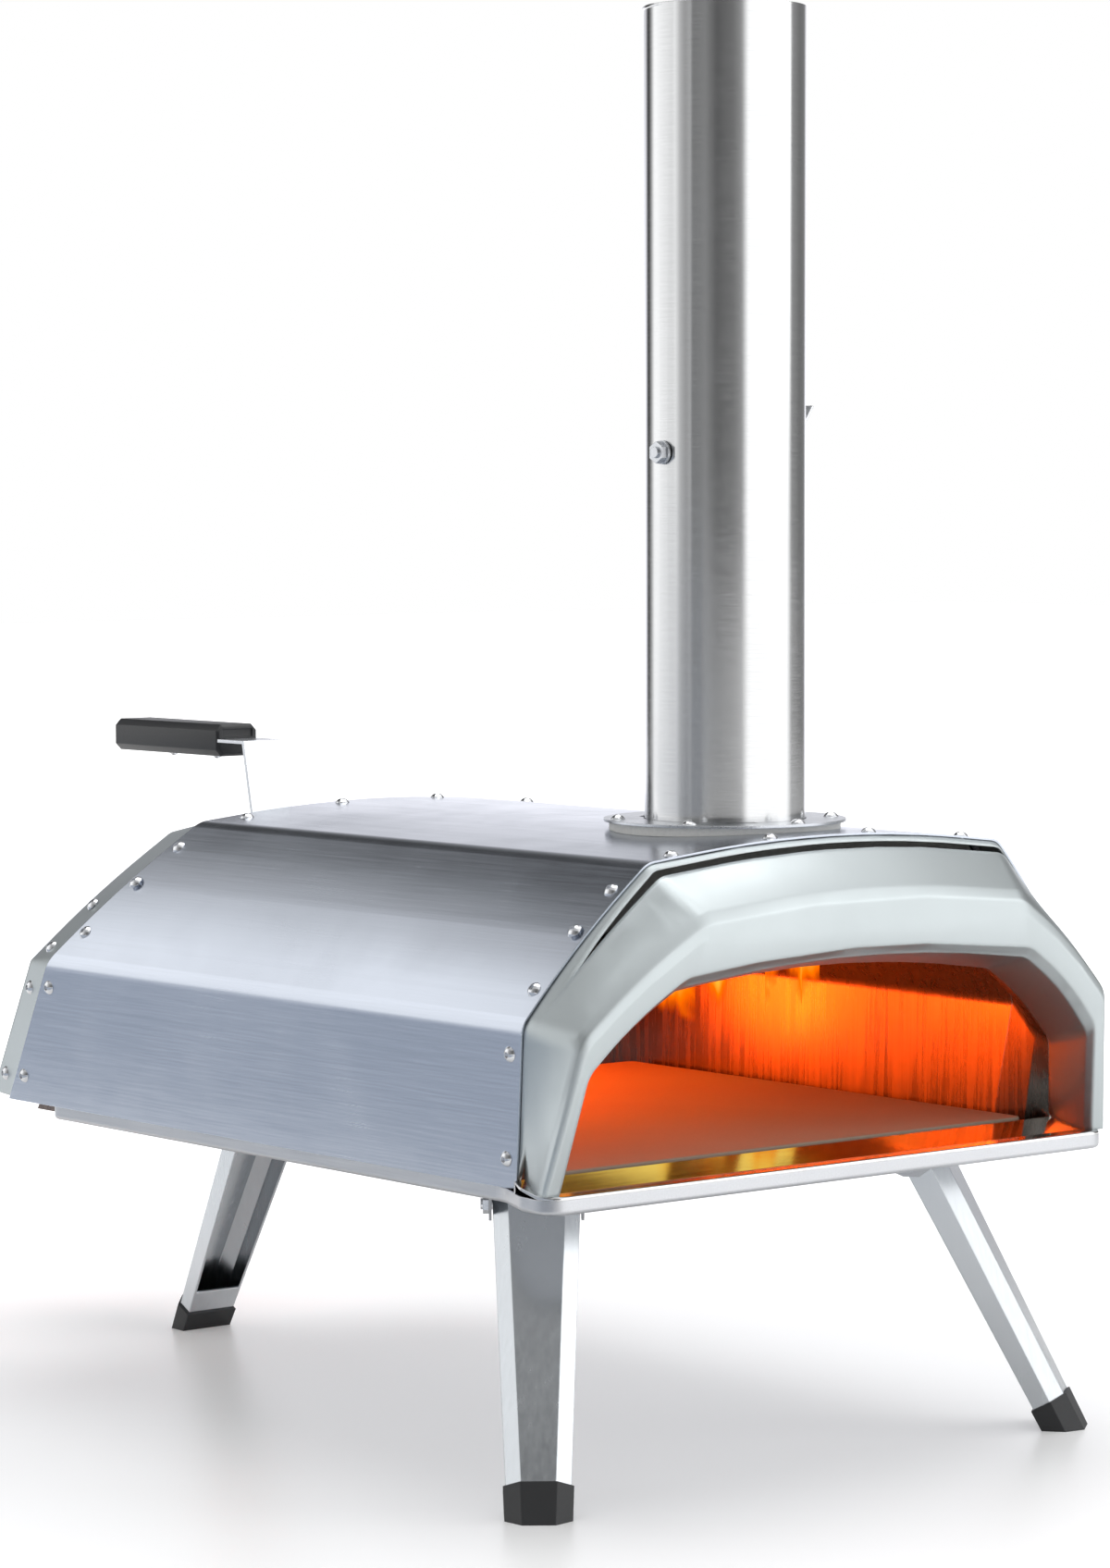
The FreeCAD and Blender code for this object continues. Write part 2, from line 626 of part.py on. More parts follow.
def pizza_stone():
    """Baking stone with eased edges."""
    width, length, thickness = STONE_SIZE
    stone = box(-width / 2, width / 2, STONE_FRONT_Y, STONE_FRONT_Y + length, STONE_BASE_Z, STONE_TOP_Z)
    upright = [edge for edge in stone.Edges if edge.BoundBox.ZLength > thickness - 0.1]
    stone = stone.makeFillet(6.0, upright)
    rims = [edge for edge in stone.Edges if edge.BoundBox.ZMin > STONE_TOP_Z - 0.01]
    return stone.makeFillet(0.8, rims)


# ---------------------------------------------------------------- flue and chimney
def flue_collar():
    """Flange with bayonet notches, a sleeve below it and the ledge that the chimney stands on."""
    plate = ring(FLANGE_R, CHIMNEY_R + FLANGE_GAP, FLANGE_Z, FLANGE_T)
    sleeve_base = CHAMBER_HALF[3][1] - 5.0
    sleeve = ring(SPIGOT_OUT_R, SPIGOT_R, sleeve_base, FLANGE_Z - sleeve_base)
    ledge = ring(SPIGOT_R + 0.2, CHIMNEY_R - 3.5, CHIMNEY_SEAT_Z - 2.3, 2.0)
    collar = joined([plate, sleeve, ledge])
    for i in range(3):
        notch = lug_segment(90 + 120 * i + CHIMNEY_TWIST, FLANGE_Z - 1, FLANGE_T + 2,
                            CHIMNEY_R - 2, SPIGOT_R, LUG_HALF_ANGLE + 2)
        collar = collar.cut(notch)
    return collar.cut(holes_for(FLANGE_SEATS))


def lug_segment(angle, z0, height, inner, outer, half_angle):
    """Sector of a ring about the flue's axis."""
    sector = ring(outer, inner, z0, height)
    reach = outer * 3
    points = [Vec(0, FLUE_Y, z0 - 1)]
    for offset in (-half_angle, half_angle):
        turn = math.radians(angle + offset)
        points.append(Vec(reach * math.cos(turn), FLUE_Y + reach * math.sin(turn), z0 - 1))
    wedge = Part.Face(Part.makePolygon(points + [points[0]])).extrude(Vec(0, 0, height + 2))
    return sector.common(wedge)


def flue_gasket():
    """Fibre gasket that fills the space between the arched roof and the flat flange."""
    washer = ring(FLANGE_R - 3.0, SPIGOT_OUT_R + 0.7, SHELL_CREST_Z - 12, FLANGE_Z - SHELL_CREST_Z + 12)
    return washer.cut(SHELL_BLOCK).cut(holes_for(FLANGE_SEATS))


def chimney_tube():
    """Chimney with three bayonet lugs near its foot and cross holes for the damper's shaft."""
    tube = ring(CHIMNEY_R, CHIMNEY_R - CHIMNEY_WALL, CHIMNEY_SEAT_Z, CHIMNEY_TOP_Z - CHIMNEY_SEAT_Z)
    for i in range(3):
        lug = lug_segment(90 + 120 * i, CHIMNEY_SEAT_Z + 8, 4.0, CHIMNEY_R - 0.4, CHIMNEY_R + LUG_REACH,
                          LUG_HALF_ANGLE)
        tube = tube.fuse(lug)
    bore = cylinder(DAMPER_SHAFT_R + PIVOT_FIT, Vec(-100, FLUE_Y, DAMPER_Z), Vec(1, 0, 0), 200)
    return tube.removeSplitter().cut(bore)


def damper_shaft():
    """Cross shaft, flattened in the middle where the plate is screwed on."""
    shaft = cylinder(DAMPER_SHAFT_R, Vec(-CHIMNEY_R - 7, FLUE_Y, DAMPER_Z), Vec(1, 0, 0), 2 * CHIMNEY_R + 14)
    half = CHIMNEY_R - 6
    flat = box(-half, half, FLUE_Y - 10, FLUE_Y - 0.6, DAMPER_Z - 10, DAMPER_Z + 10)
    return shaft.cut(flat)


def damper_plate():
    """Round butterfly plate, upright at rest, which leaves the flue open."""
    radius = CHIMNEY_R - CHIMNEY_WALL - DAMPER_GAP
    disc = cylinder(radius, Vec(0, FLUE_Y - 1.8, DAMPER_Z), Vec(0, 1, 0), 1.2)
    half = CHIMNEY_R - 6
    for side in (-1, 1):
        ear = box(side * 60 - 30 if side > 0 else -90, 90 if side > 0 else -30, FLUE_Y - 5, FLUE_Y + 5,
                  DAMPER_Z - DAMPER_SHAFT_R - 0.3, DAMPER_Z + DAMPER_SHAFT_R + 0.3)
        beyond = box(-200, -half + 0.5, 0, 200, 0, 1000) if side < 0 else box(half - 0.5, 200, 0, 200, 0, 1000)
        disc = disc.cut(ear.common(beyond))
    return disc


def damper_clips():
    """Two screws that hold the plate to the shaft's flat."""
    seats = [(Vec(x, FLUE_Y - 1.8, DAMPER_Z), Vec(0, -1, 0)) for x in (-20.0, 20.0)]
    up = Vec(0, 0, 1)
    pin = cylinder(2.6, Vec(0, 0, 0), up, 1.6)
    return Part.makeCompound([placed(pin, point, normal) for point, normal in seats])


def damper_lever():
    """Strip lever on the shaft's right end, bent out and up."""
    start = CHIMNEY_R + 3.0
    tip = CHIMNEY_R + 16.0
    rise = DAMPER_Z + 26.0
    path = [(start, DAMPER_Z - 7), (start + 1.2, DAMPER_Z - 7), (start + 1.2, DAMPER_Z + 5.5),
            (tip + 1.2, rise), (tip, rise + 0.4), (start, DAMPER_Z + 6.0)]
    corners = [Vec(x, FLUE_Y - 5, z) for x, z in path]
    strip = Part.Face(Part.makePolygon(corners + [corners[0]])).extrude(Vec(0, 10, 0))
    return strip.cut(cylinder(DAMPER_SHAFT_R, Vec(0, FLUE_Y, DAMPER_Z), Vec(1, 0, 0), 100))


def damper_nuts():
    """Hexagon nut on each end of the shaft."""
    nuts = []
    for side in (-1, 1):
        nut = hexagon(6.0, 0.0, 3.6).cut(cylinder(DAMPER_SHAFT_R, Vec(0, 0, -1), Vec(0, 0, 1), 6))
        start = CHIMNEY_R + (4.3 if side > 0 else 2.0)
        nuts.append(placed(nut, Vec(side * start, FLUE_Y, DAMPER_Z), Vec(side, 0, 0)))
    return Part.makeCompound(nuts)


def damper_washers():
    """Spacer washer between the tube and what is clamped on each end of the shaft."""
    washers = []
    for side, thickness in ((-1, 1.6), (1, 2.6)):
        hollow = cylinder(DAMPER_SHAFT_R, Vec(0, 0, -1), Vec(0, 0, 1), 6)
        washer = cylinder(6.5, Vec(0, 0, 0), Vec(0, 0, 1), thickness).cut(hollow)
        washers.append(placed(washer, Vec(side * (CHIMNEY_R + 0.4), FLUE_Y, DAMPER_Z), Vec(side, 0, 0)))
    return Part.makeCompound(washers)


# ---------------------------------------------------------------- fire box, hatch and tray
def box_top_z(y):
    """Height of the fire box's sloping top."""
    return BOX_TOP_AT[1] - HATCH_TAN * (y - BOX_TOP_AT[0])


def box_side(shrink):
    """Side view of the fire box, raked in front to lie along the chamber's back wall."""
    front = -CHAMBER_REAR_GAP + 0.3
    low = PAN_BOTTOM_Z + shrink
    high = box_top_z(430.0)
    for _ in range(4):
        high = box_top_z(rear_y(high, front))
    top_drop = shrink / math.cos(math.radians(HATCH_SLOPE))
    ahead = -30.0 if shrink else 0.0
    return [(rear_y(low, front + ahead), low), (BOX_REAR_Y - shrink, low),
            (BOX_BACK_Y - shrink, box_top_z(BOX_BACK_Y) - top_drop),
            (rear_y(high, front + ahead), box_top_z(rear_y(high, front + ahead)) - top_drop)]


def hatch_local(shape):
    """Moves a shape drawn on a level lid to its place on the fire box's sloping top."""
    moved = shape.copy()
    moved.rotate(Vec(0, 0, 0), Vec(1, 0, 0), -HATCH_SLOPE)
    start = rear_y(265.0, REAR_BEZEL_DEPTH)
    moved.translate(Vec(0, start, box_top_z(start)))
    return moved


def hatch_opening():
    width, length = HATCH_SIZE
    return hatch_local(box(-width / 2 + HATCH_RIM, width / 2 - HATCH_RIM, HATCH_START + HATCH_RIM,
                           HATCH_START + length - HATCH_RIM, -6, 12))


def tray_slot():
    low = PAN_BOTTOM_Z + BOX_WALL
    return box(-TRAY_HALF - 0.6, TRAY_HALF + 0.6, BOX_BACK_Y - 20, BOX_REAR_Y + 20, low + 0.4,
               low + TRAY_HEIGHT + 1.6)


def fire_box():
    """Sheet box that holds the fire: open to the chamber, with a fuel opening and a tray slot."""
    outside = side_plate(box_side(0.0), BOX_HALF)
    inside = side_plate(box_side(BOX_WALL), BOX_HALF - BOX_WALL)
    shell = outside.cut(inside).cut(hatch_opening()).cut(tray_slot())
    return shell.cut(holes_for(bracket_screw_seats(), 6.0))


def fire_box_flange():
    """Raked frame that closes the gap between the fire box and the rear panel."""
    start = REAR_BEZEL_DEPTH - BEZEL_WALL - 0.2
    high = box_top_z(rear_y(265.0, start))
    reach = BOX_HALF + FLANGE_MARGIN
    plate = box(-reach, reach, 300, 900, SHELL_BASE_Z + 4, high + FLANGE_MARGIN + 3)
    plate = plate.common(rear_slice(start, 1.2))
    box_room = side_plate(box_side(0.0), BOX_HALF)
    return plate.cut(box_room)


def flame_baffle():
    """Plate hanging from the fire box's top that throws the flame down across the stone."""
    y = rear_y(265.0, -CHAMBER_REAR_GAP) + 12
    high = box_top_z(y) - BOX_WALL / math.cos(math.radians(HATCH_SLOPE)) - 1.0
    half = BOX_HALF - FIRE_DOOR_MARGIN - 0.5
    plate = box(-half, half, y, y + 1.5, high - 46, high)
    tab = box(-half, half, y, y + 14, high - 46, high - 44.5)
    return plate.fuse(tab).removeSplitter()


def hatch_frame():
    """Low frame round the fuel opening that locates the lid."""
    width, length = HATCH_SIZE
    frame = box(-width / 2, width / 2, HATCH_START, HATCH_START + length, 0, HATCH_FRAME_H)
    return hatch_local(frame).cut(hatch_opening())


def hatch_lid():
    """Lid with turned-down edges."""
    width, length = HATCH_SIZE
    gap = 0.6
    edge = gap + 1.2
    top = HATCH_FRAME_H + 1.6
    outside = box(-width / 2 - edge, width / 2 + edge, HATCH_START - edge, HATCH_START + length + edge, 0.5, top)
    inside = box(-width / 2 - gap, width / 2 + gap, HATCH_START - gap, HATCH_START + length + gap, 0,
                 HATCH_FRAME_H + 0.4)
    upright = [edge for edge in outside.Edges if edge.BoundBox.ZLength > 2]
    lid = hatch_local(outside.makeFillet(3.0, upright).cut(inside))
    return lid.cut(holes_for(strap_screw_seats(), 8.0))


def strap_foot():
    """Where the strap's post starts on the lid, and the lid's top, as (distance back, height)."""
    return HATCH_START + 1.0, HATCH_FRAME_H + 1.6


def strap_screw_seats():
    """Seats of the two screws through the strap's foot."""
    along, up = strap_foot()
    turn = math.radians(HATCH_SLOPE)
    start = rear_y(265.0, REAR_BEZEL_DEPTH)
    back, height = along + 20.0, up + STRAP_T
    y = start + back * math.cos(turn) + height * math.sin(turn)
    z = box_top_z(start) - back * math.sin(turn) + height * math.cos(turn)
    return [(Vec(x, y, z), Vec(0, math.sin(turn), math.cos(turn))) for x in (-9.0, 9.0)]


def strap_corner():
    """World y of the strap's top front corner."""
    along, up = strap_foot()
    turn = math.radians(HATCH_SLOPE)
    start = rear_y(265.0, REAR_BEZEL_DEPTH)
    foot_y = start + along * math.cos(turn) + up * math.sin(turn)
    foot_z = box_top_z(start) - along * math.sin(turn) + up * math.cos(turn)
    return foot_y + (STRAP_TOP_Z - foot_z) * math.tan(turn), foot_y, foot_z


def grip_start():
    return strap_corner()[0] + GRIP_REACH


def hatch_strap():
    """Bent strap: a foot on the lid, a post square to it and a level top that enters the grip."""
    turn = math.radians(HATCH_SLOPE)
    top_y, foot_y, foot_z = strap_corner()
    down = Vec(0, math.cos(turn), -math.sin(turn))
    normal = Vec(0, math.sin(turn), math.cos(turn))
    foot = Vec(0, foot_y, foot_z)
    top = Vec(0, top_y, STRAP_TOP_Z)
    outer = [foot + down * 33, foot, top, top + Vec(0, GRIP_REACH + 30, 0)]
    lower = STRAP_TOP_Z - STRAP_T
    inner_top = Vec(0, top_y + STRAP_T / math.cos(turn) - STRAP_T * math.tan(turn), lower)
    inner = [Vec(0, outer[3].y, lower), inner_top, foot + down * STRAP_T + normal * STRAP_T,
             foot + down * 33 + normal * STRAP_T]
    points = [point + Vec(-STRAP_WIDTH / 2, 0, 0) for point in outer + inner]
    strap = Part.Face(Part.makePolygon(points + [points[0]])).extrude(Vec(STRAP_WIDTH, 0, 0))
    tang = box(-SIDE, SIDE, grip_start(), grip_start() + 60, 300, 500)
    narrow = box(-STRAP_WIDTH / 2 + 4, STRAP_WIDTH / 2 - 4, 0, 900, 300, 500)
    strap = strap.cut(tang.cut(narrow))
    return strap.cut(holes_for(strap_screw_seats(), 8.0))


def hatch_grip():
    """Chamfered heat-proof grip with a recessed end face and a slot for the strap."""
    width, height = GRIP_SIZE
    start = grip_start()
    middle = STRAP_TOP_Z - STRAP_T / 2
    grip = box(-width / 2, width / 2, start, start + GRIP_LENGTH, middle - height / 2, middle + height / 2)
    long_edges = [edge for edge in grip.Edges if edge.BoundBox.YLength > GRIP_LENGTH - 1]
    grip = grip.makeChamfer(4.0, long_edges)
    ends = [edge for edge in grip.Edges if edge.BoundBox.YLength < 0.01]
    grip = grip.makeChamfer(1.6, ends)
    recess = box(-width / 2 + 4, width / 2 - 4, start - 1, start + 1.2, middle + 2, middle + 7)
    slot = box(-STRAP_WIDTH / 2 + 4, STRAP_WIDTH / 2 - 4, start - 1, strap_corner()[0] + GRIP_REACH + 30,
               STRAP_TOP_Z - STRAP_T, STRAP_TOP_Z)
    return grip.cut(recess).cut(slot).cut(holes_for(grip_screw_seats(), 12.0))


def grip_screw_seats():
    """Two screws up through the grip into the strap's tang."""
    low = STRAP_TOP_Z - STRAP_T / 2 - GRIP_SIZE[1] / 2
    return [(Vec(0, grip_start() + back, low), Vec(0, 0, -1)) for back in (22.0, 70.0)]


def fuel_tray():
    """Drawer with a floor, four walls and a front plate that covers its slot."""
    low = PAN_BOTTOM_Z + BOX_WALL + 0.8
    front = BOX_REAR_Y + 0.5 - TRAY_LENGTH
    rear = BOX_REAR_Y + 0.5
    outside = box(-TRAY_HALF, TRAY_HALF, front, rear, low, low + TRAY_HEIGHT)
    inside = box(-TRAY_HALF + 1.2, TRAY_HALF - 1.2, front + 1.2, rear, low + 1.2, low + TRAY_HEIGHT + 1)
    plate = box(-TRAY_HALF - 8, TRAY_HALF + 8, rear, rear + 1.5, low - 1.2, low + TRAY_HEIGHT + 8)
    upright = [edge for edge in plate.Edges if edge.BoundBox.YLength > 1.4]
    plate = plate.makeFillet(5.0, upright)
    return outside.cut(inside).fuse(plate).removeSplitter().cut(holes_for(tray_handle_seats(), 3.0))


def fuel_grate():
    """Slotted grate that lies in the tray and lets ash fall through."""
    low = PAN_BOTTOM_Z + BOX_WALL + 0.8 + 1.2
    front = BOX_REAR_Y + 0.5 - TRAY_LENGTH + 1.6
    rear = BOX_REAR_Y
    half = TRAY_HALF - 1.6
    plate = box(-half, half, front, rear, low + 6, low + 8)
    legs = [box(x0, x0 + 2, front, rear, low, low + 6) for x0 in (-half, half - 2)]
    grate = joined([plate] + legs)
    slots = []
    count = 11
    pitch = (rear - front - 12) / count
    for i in range(count):
        y0 = front + 8 + i * pitch
        slots.append(box(-half + 8, half - 8, y0, y0 + pitch * 0.5, low + 5, low + 9))
    return grate.cut(Part.makeCompound(slots))


def tray_handle_seats():
    z = PAN_BOTTOM_Z + BOX_WALL + 0.8 + TRAY_HEIGHT / 2 + 6
    return [(Vec(x, BOX_REAR_Y + 2.0 + 1.5, z), Vec(0, 1, 0)) for x in (-24.0, 24.0)]


def tray_handle():
    """Bent strip handle on the tray's front plate."""
    z = PAN_BOTTOM_Z + BOX_WALL + 0.8 + TRAY_HEIGHT / 2 + 6
    start = BOX_REAR_Y + 2.0
    reach = TRAY_HANDLE_REACH - 9
    path = [(-31, start), (-16, start), (-16, start + reach - 1.5), (16, start + reach - 1.5), (16, start),
            (31, start), (31, start + 1.5), (17.5, start + 1.5), (17.5, start + reach), (-17.5, start + reach),
            (-17.5, start + 1.5), (-31, start + 1.5)]
    corners = [Vec(x, y, z - 6) for x, y in path]
    strip = Part.Face(Part.makePolygon(corners + [corners[0]])).extrude(Vec(0, 0, 12))
    return strip.cut(holes_for(tray_handle_seats(), 4.0))


def tray_knob():
    """Heat-proof pull clamped on the handle strip."""
    z = PAN_BOTTOM_Z + BOX_WALL + 0.8 + TRAY_HEIGHT / 2 + 6
    end = BOX_REAR_Y + 2.0 + TRAY_HANDLE_REACH
    start = end - 9.0
    knob = box(-17, 17, start, end, z - 8, z + 8)
    return knob.makeChamfer(2.0, [edge for edge in knob.Edges if edge.BoundBox.YMin > start + 0.1])


# ---------------------------------------------------------------- legs
def leg_frame():
    """Local frame: s runs down the leg from the pivot, n points out of its outer face, x across it."""
    turn = math.radians(LEG_SPLAY)
    along = Vec(0, -math.sin(turn), -math.cos(turn))
    outward = Vec(0, -math.cos(turn), math.sin(turn))
    return along, outward


def leg_point(x, s, n):
    along, outward = leg_frame()
    return Vec(x, 0, PIVOT_Z) + along * s + outward * n


def leg_section(s, shrink, open_back=0.0):
    """Six-sided section of the leg at a distance down it."""
    share = s / LEG_REACH
    width = LEG_TOP_SIZE[0] + (LEG_END_SIZE[0] - LEG_TOP_SIZE[0]) * share
    depth = LEG_TOP_SIZE[1] + (LEG_END_SIZE[1] - LEG_TOP_SIZE[1]) * share
    inside = LEG_INSIDE + (LEG_END_INSIDE - LEG_INSIDE) * share
    half = width / 2 - shrink
    back = -inside + (shrink if not open_back else -open_back)
    face = depth - inside - shrink
    cut = LEG_CHAMFER - shrink * 0.6
    points = [(half, back), (half, face - cut), (half - cut, face), (-half + cut, face), (-half, face - cut),
              (-half, back)]
    corners = [leg_point(x, s, n) for x, n in points]
    return Part.makePolygon(corners + [corners[0]])


def leg_top_cut():
    """Side view of what a leg may fill near its pivot, so that it folds clear of the base."""
    points = [(-1.5, -LEG_INSIDE - 3), (-1.5, -LEG_INSIDE), (-5.4, -2.0), (-5.4, 1.8),
              (2.6, LEG_TOP_SIZE[1] - LEG_INSIDE + 0.5), (2.6, 40), (260, 40), (260, -30), (4.0, -30),
              (4.0, -LEG_INSIDE - 3)]
    corners = [leg_point(-60, s, n) for s, n in points]
    return Part.Face(Part.makePolygon(corners + [corners[0]])).extrude(Vec(120, 0, 0))


def leg():
    """Folded sheet leg: an open channel above, closed for its last stretch, cut level in its foot."""
    outside = loft([leg_section(-12, 0.0), leg_section(LEG_REACH + 14, 0.0)])
    channel = loft([leg_section(-13, LEG_WALL, 6.0), leg_section(LEG_REACH - LEG_CLOSED, LEG_WALL, 6.0)])
    closed = loft([leg_section(LEG_REACH - LEG_CLOSED - 1, LEG_WALL), leg_section(LEG_REACH + 15, LEG_WALL)])
    body = outside.cut(channel).cut(closed)
    floor_cut = box(-200, 200, -300, 300, -100, 4.0)
    bore = cylinder(PIVOT_R + PIVOT_FIT, Vec(-60, 0, PIVOT_Z), Vec(1, 0, 0), 120)
    return body.common(leg_top_cut()).cut(floor_cut).cut(bore)


def foot():
    """Rubber boot over the leg's end, flat underneath."""
    outside = loft([leg_section(LEG_REACH - FOOT_HEIGHT - 3, -FOOT_WALL),
                    leg_section(LEG_REACH + 20, -FOOT_WALL)])
    upper = [leg_point(-60, LEG_REACH - FOOT_HEIGHT + k, n) for k, n in ((0, -40), (0, 40), (80, 40), (80, -40))]
    room = Part.Face(Part.makePolygon(upper + [upper[0]])).extrude(Vec(120, 0, 0))
    leg_room = loft([leg_section(0, 0.0), leg_section(LEG_REACH + 14, 0.0)])
    leg_room = leg_room.cut(box(-200, 200, -300, 300, -100, 4.0))
    block = outside.common(room).cut(leg_room)
    return block.cut(box(-200, 200, -300, 300, -100, 0.0))


def leg_bracket():
    """Screwed-on bracket: a base plate and two three-cornered cheeks either side of the leg."""
    inner = LEG_TOP_SIZE[0] / 2 + BRACKET_GAP
    outer = inner + BRACKET_T
    high = PAN_BOTTOM_Z
    base = box(-outer, outer, -24, 42, high - BRACKET_T, high)
    outline = [(-24, high), (42, high), (42, high - 3), (5, PIVOT_Z - 8.5), (-4, PIVOT_Z - 8.5), (-24, high - 3)]
    cheeks = []
    for side in (-1, 1):
        corners = [Vec(side * inner, y, z) for y, z in outline]
        cheeks.append(Part.Face(Part.makePolygon(corners + [corners[0]])).extrude(Vec(side * BRACKET_T, 0, 0)))
    bracket = joined([base] + cheeks)
    bore = cylinder(PIVOT_R, Vec(-60, 0, PIVOT_Z), Vec(1, 0, 0), 120)
    return bracket.cut(bore).cut(holes_for(bracket_local_seats(), 6.0))


def bracket_local_seats():
    low = PAN_BOTTOM_Z - BRACKET_T
    return [(Vec(x, 34.0, low), Vec(0, 0, -1)) for x in (-14.0, 14.0)]


def pivot_bolt():
    """Bolt through both cheeks, with a socket head and a nut."""
    half = LEG_TOP_SIZE[0] / 2 + BRACKET_GAP + BRACKET_T
    shank = cylinder(PIVOT_R, Vec(-half - 4.5, 0, PIVOT_Z), Vec(1, 0, 0), 2 * half + 4.5)
    head = placed(button_screw(5.0, 1.0), Vec(half, 0, PIVOT_Z), Vec(1, 0, 0))
    return shank.fuse(head).removeSplitter()


def pivot_nut():
    half = LEG_TOP_SIZE[0] / 2 + BRACKET_GAP + BRACKET_T
    nut = hexagon(5.4, 0.0, 3.2).cut(cylinder(PIVOT_R, Vec(0, 0, -1), Vec(0, 0, 1), 6))
    return placed(nut, Vec(-half, 0, PIVOT_Z), Vec(-1, 0, 0))


def leg_places():
    """Name, turn about Z and pivot position of each leg; an unturned leg splays towards -Y."""
    turn = math.radians(LEG_SPLAY)
    middle = (LEG_TOP_SIZE[1] + LEG_END_SIZE[1]) / 4 - (LEG_INSIDE + LEG_END_INSIDE) / 2
    run = LEG_REACH * math.sin(turn) + middle * math.cos(turn)
    places = []
    for name, side in (("left", -1), ("right", 1)):
        angle = side * (90 - FRONT_LEG_TURN)
        direction = Vec(math.sin(math.radians(angle)), -math.cos(math.radians(angle)), 0)
        pivot = Vec(side * FRONT_FOOT[0], FRONT_FOOT[1], 0) - direction * run
        places.append((name, angle, pivot))
    places.append(("rear", 180.0, Vec(0, REAR_FOOT_Y - run, 0)))
    return places


def at_leg(shape, place):
    name, angle, pivot = place
    moved = turned(shape, angle)
    moved.translate(pivot)
    return moved


def bracket_screw_seats():
    """Seats of all bracket screws, in the oven's frame."""
    seats = []
    for name, angle, pivot in leg_places():
        turn = FreeCAD.Rotation(Vec(0, 0, 1), angle)
        for point, normal in bracket_local_seats():
            seats.append((turn.multVec(point) + pivot, normal))
    return seats


# ---------------------------------------------------------------- assembly
def build():
    pieces = {
        "outer_shell": outer_shell(),
        "front_bezel": front_bezel(),
        "rear_bezel": rear_bezel(),
        "rear_panel": rear_panel(),
        "inner_chamber": inner_chamber(),
        "mouth_collar": mouth_collar(),
        "insulation_blanket": insulation_blanket(),
        "base_pan": base_pan(),
        "lip_plate": lip_plate(),
        "chamber_floor": chamber_floor(),
        "stone_rail_left": stone_rail(-1),
        "stone_rail_right": stone_rail(1),
        "pizza_stone": pizza_stone(),
        "flue_collar": flue_collar(),
        "flue_gasket": flue_gasket(),
        "chimney_tube": chimney_tube(),
        "damper_shaft": damper_shaft(),
        "damper_plate": damper_plate(),
        "damper_clips": damper_clips(),
        "damper_lever": damper_lever(),
        "damper_nuts": damper_nuts(),
        "damper_washers": damper_washers(),
        "fire_box": fire_box(),
        "fire_box_flange": fire_box_flange(),
        "flame_baffle": flame_baffle(),
        "hatch_frame": hatch_frame(),
        "hatch_lid": hatch_lid(),
        "hatch_strap": hatch_strap(),
        "hatch_grip": hatch_grip(),
        "fuel_tray": fuel_tray(),
        "fuel_grate": fuel_grate(),
        "tray_handle": tray_handle(),
        "tray_knob": tray_knob(),
        "front_shell_screws": screw_group(FRONT_SEATS, length=4.0),
        "rear_shell_screws": screw_group(REAR_SEATS, length=4.0),
        "rear_bezel_screws": both_sides(screw_group(rear_band_seats(), length=4.0)),
        "flange_screws": screw_group(FLANGE_SEATS),
        "bracket_screws": screw_group(bracket_screw_seats(), SMALL_HEAD_R, 3.2),
        "strap_screws": screw_group(strap_screw_seats(), SMALL_HEAD_R, 5.0),
        "grip_screws": screw_group(grip_screw_seats(), SMALL_HEAD_R, 8.0),
        "tray_handle_screws": screw_group(tray_handle_seats(), SMALL_HEAD_R, 3.0),
    }
    makers = {"leg": leg, "foot": foot, "leg_bracket": leg_bracket, "pivot_bolt": pivot_bolt, "pivot_nut": pivot_nut}
    for kind, maker in makers.items():
        master = maker()
        for place in leg_places():
            pieces[kind + "_" + place[0]] = at_leg(master, place)
    return pieces


def main():
    os.makedirs("parts", exist_ok=True)
    pieces = build()
    bounds = FreeCAD.BoundBox()
    for shape in pieces.values():
        bounds.add(shape.BoundBox)
    shift = Vec(0, -(bounds.YMin + bounds.YMax) / 2, 0)
    for name, shape in pieces.items():
        moved = shape.copy()
        moved.translate(shift)
        moved.exportStep("parts/" + name + ".step")
        print(f"{name:22s} solids {len(shape.Solids)} volume {shape.Volume:12.1f} valid {shape.isValid()}")
    print(f"size {bounds.XLength:.1f} x {bounds.YLength:.1f} x {bounds.ZLength:.1f}, shift {shift.y:.3f}")
    for name, angle, pivot in leg_places():
        print(f"leg {name}: turn {angle:.2f} pivot {pivot.x:.2f} {pivot.y + shift.y:.2f}")


main()
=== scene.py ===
import math

import bmesh
import bpy
from mathutils import Matrix, Vector


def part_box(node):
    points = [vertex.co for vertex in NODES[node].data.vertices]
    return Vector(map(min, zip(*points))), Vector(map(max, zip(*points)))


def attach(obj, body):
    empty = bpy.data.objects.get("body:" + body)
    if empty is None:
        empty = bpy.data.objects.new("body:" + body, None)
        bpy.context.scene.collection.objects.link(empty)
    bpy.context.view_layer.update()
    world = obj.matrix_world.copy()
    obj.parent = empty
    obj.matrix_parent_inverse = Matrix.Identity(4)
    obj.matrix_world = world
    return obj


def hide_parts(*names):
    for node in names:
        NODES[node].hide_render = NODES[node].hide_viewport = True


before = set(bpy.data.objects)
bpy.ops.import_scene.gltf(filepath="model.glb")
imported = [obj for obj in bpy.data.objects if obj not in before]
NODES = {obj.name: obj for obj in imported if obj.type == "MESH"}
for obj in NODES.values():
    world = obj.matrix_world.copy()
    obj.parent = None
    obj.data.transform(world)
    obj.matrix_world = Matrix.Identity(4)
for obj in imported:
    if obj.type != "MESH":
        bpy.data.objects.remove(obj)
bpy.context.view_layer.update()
scene = bpy.context.scene

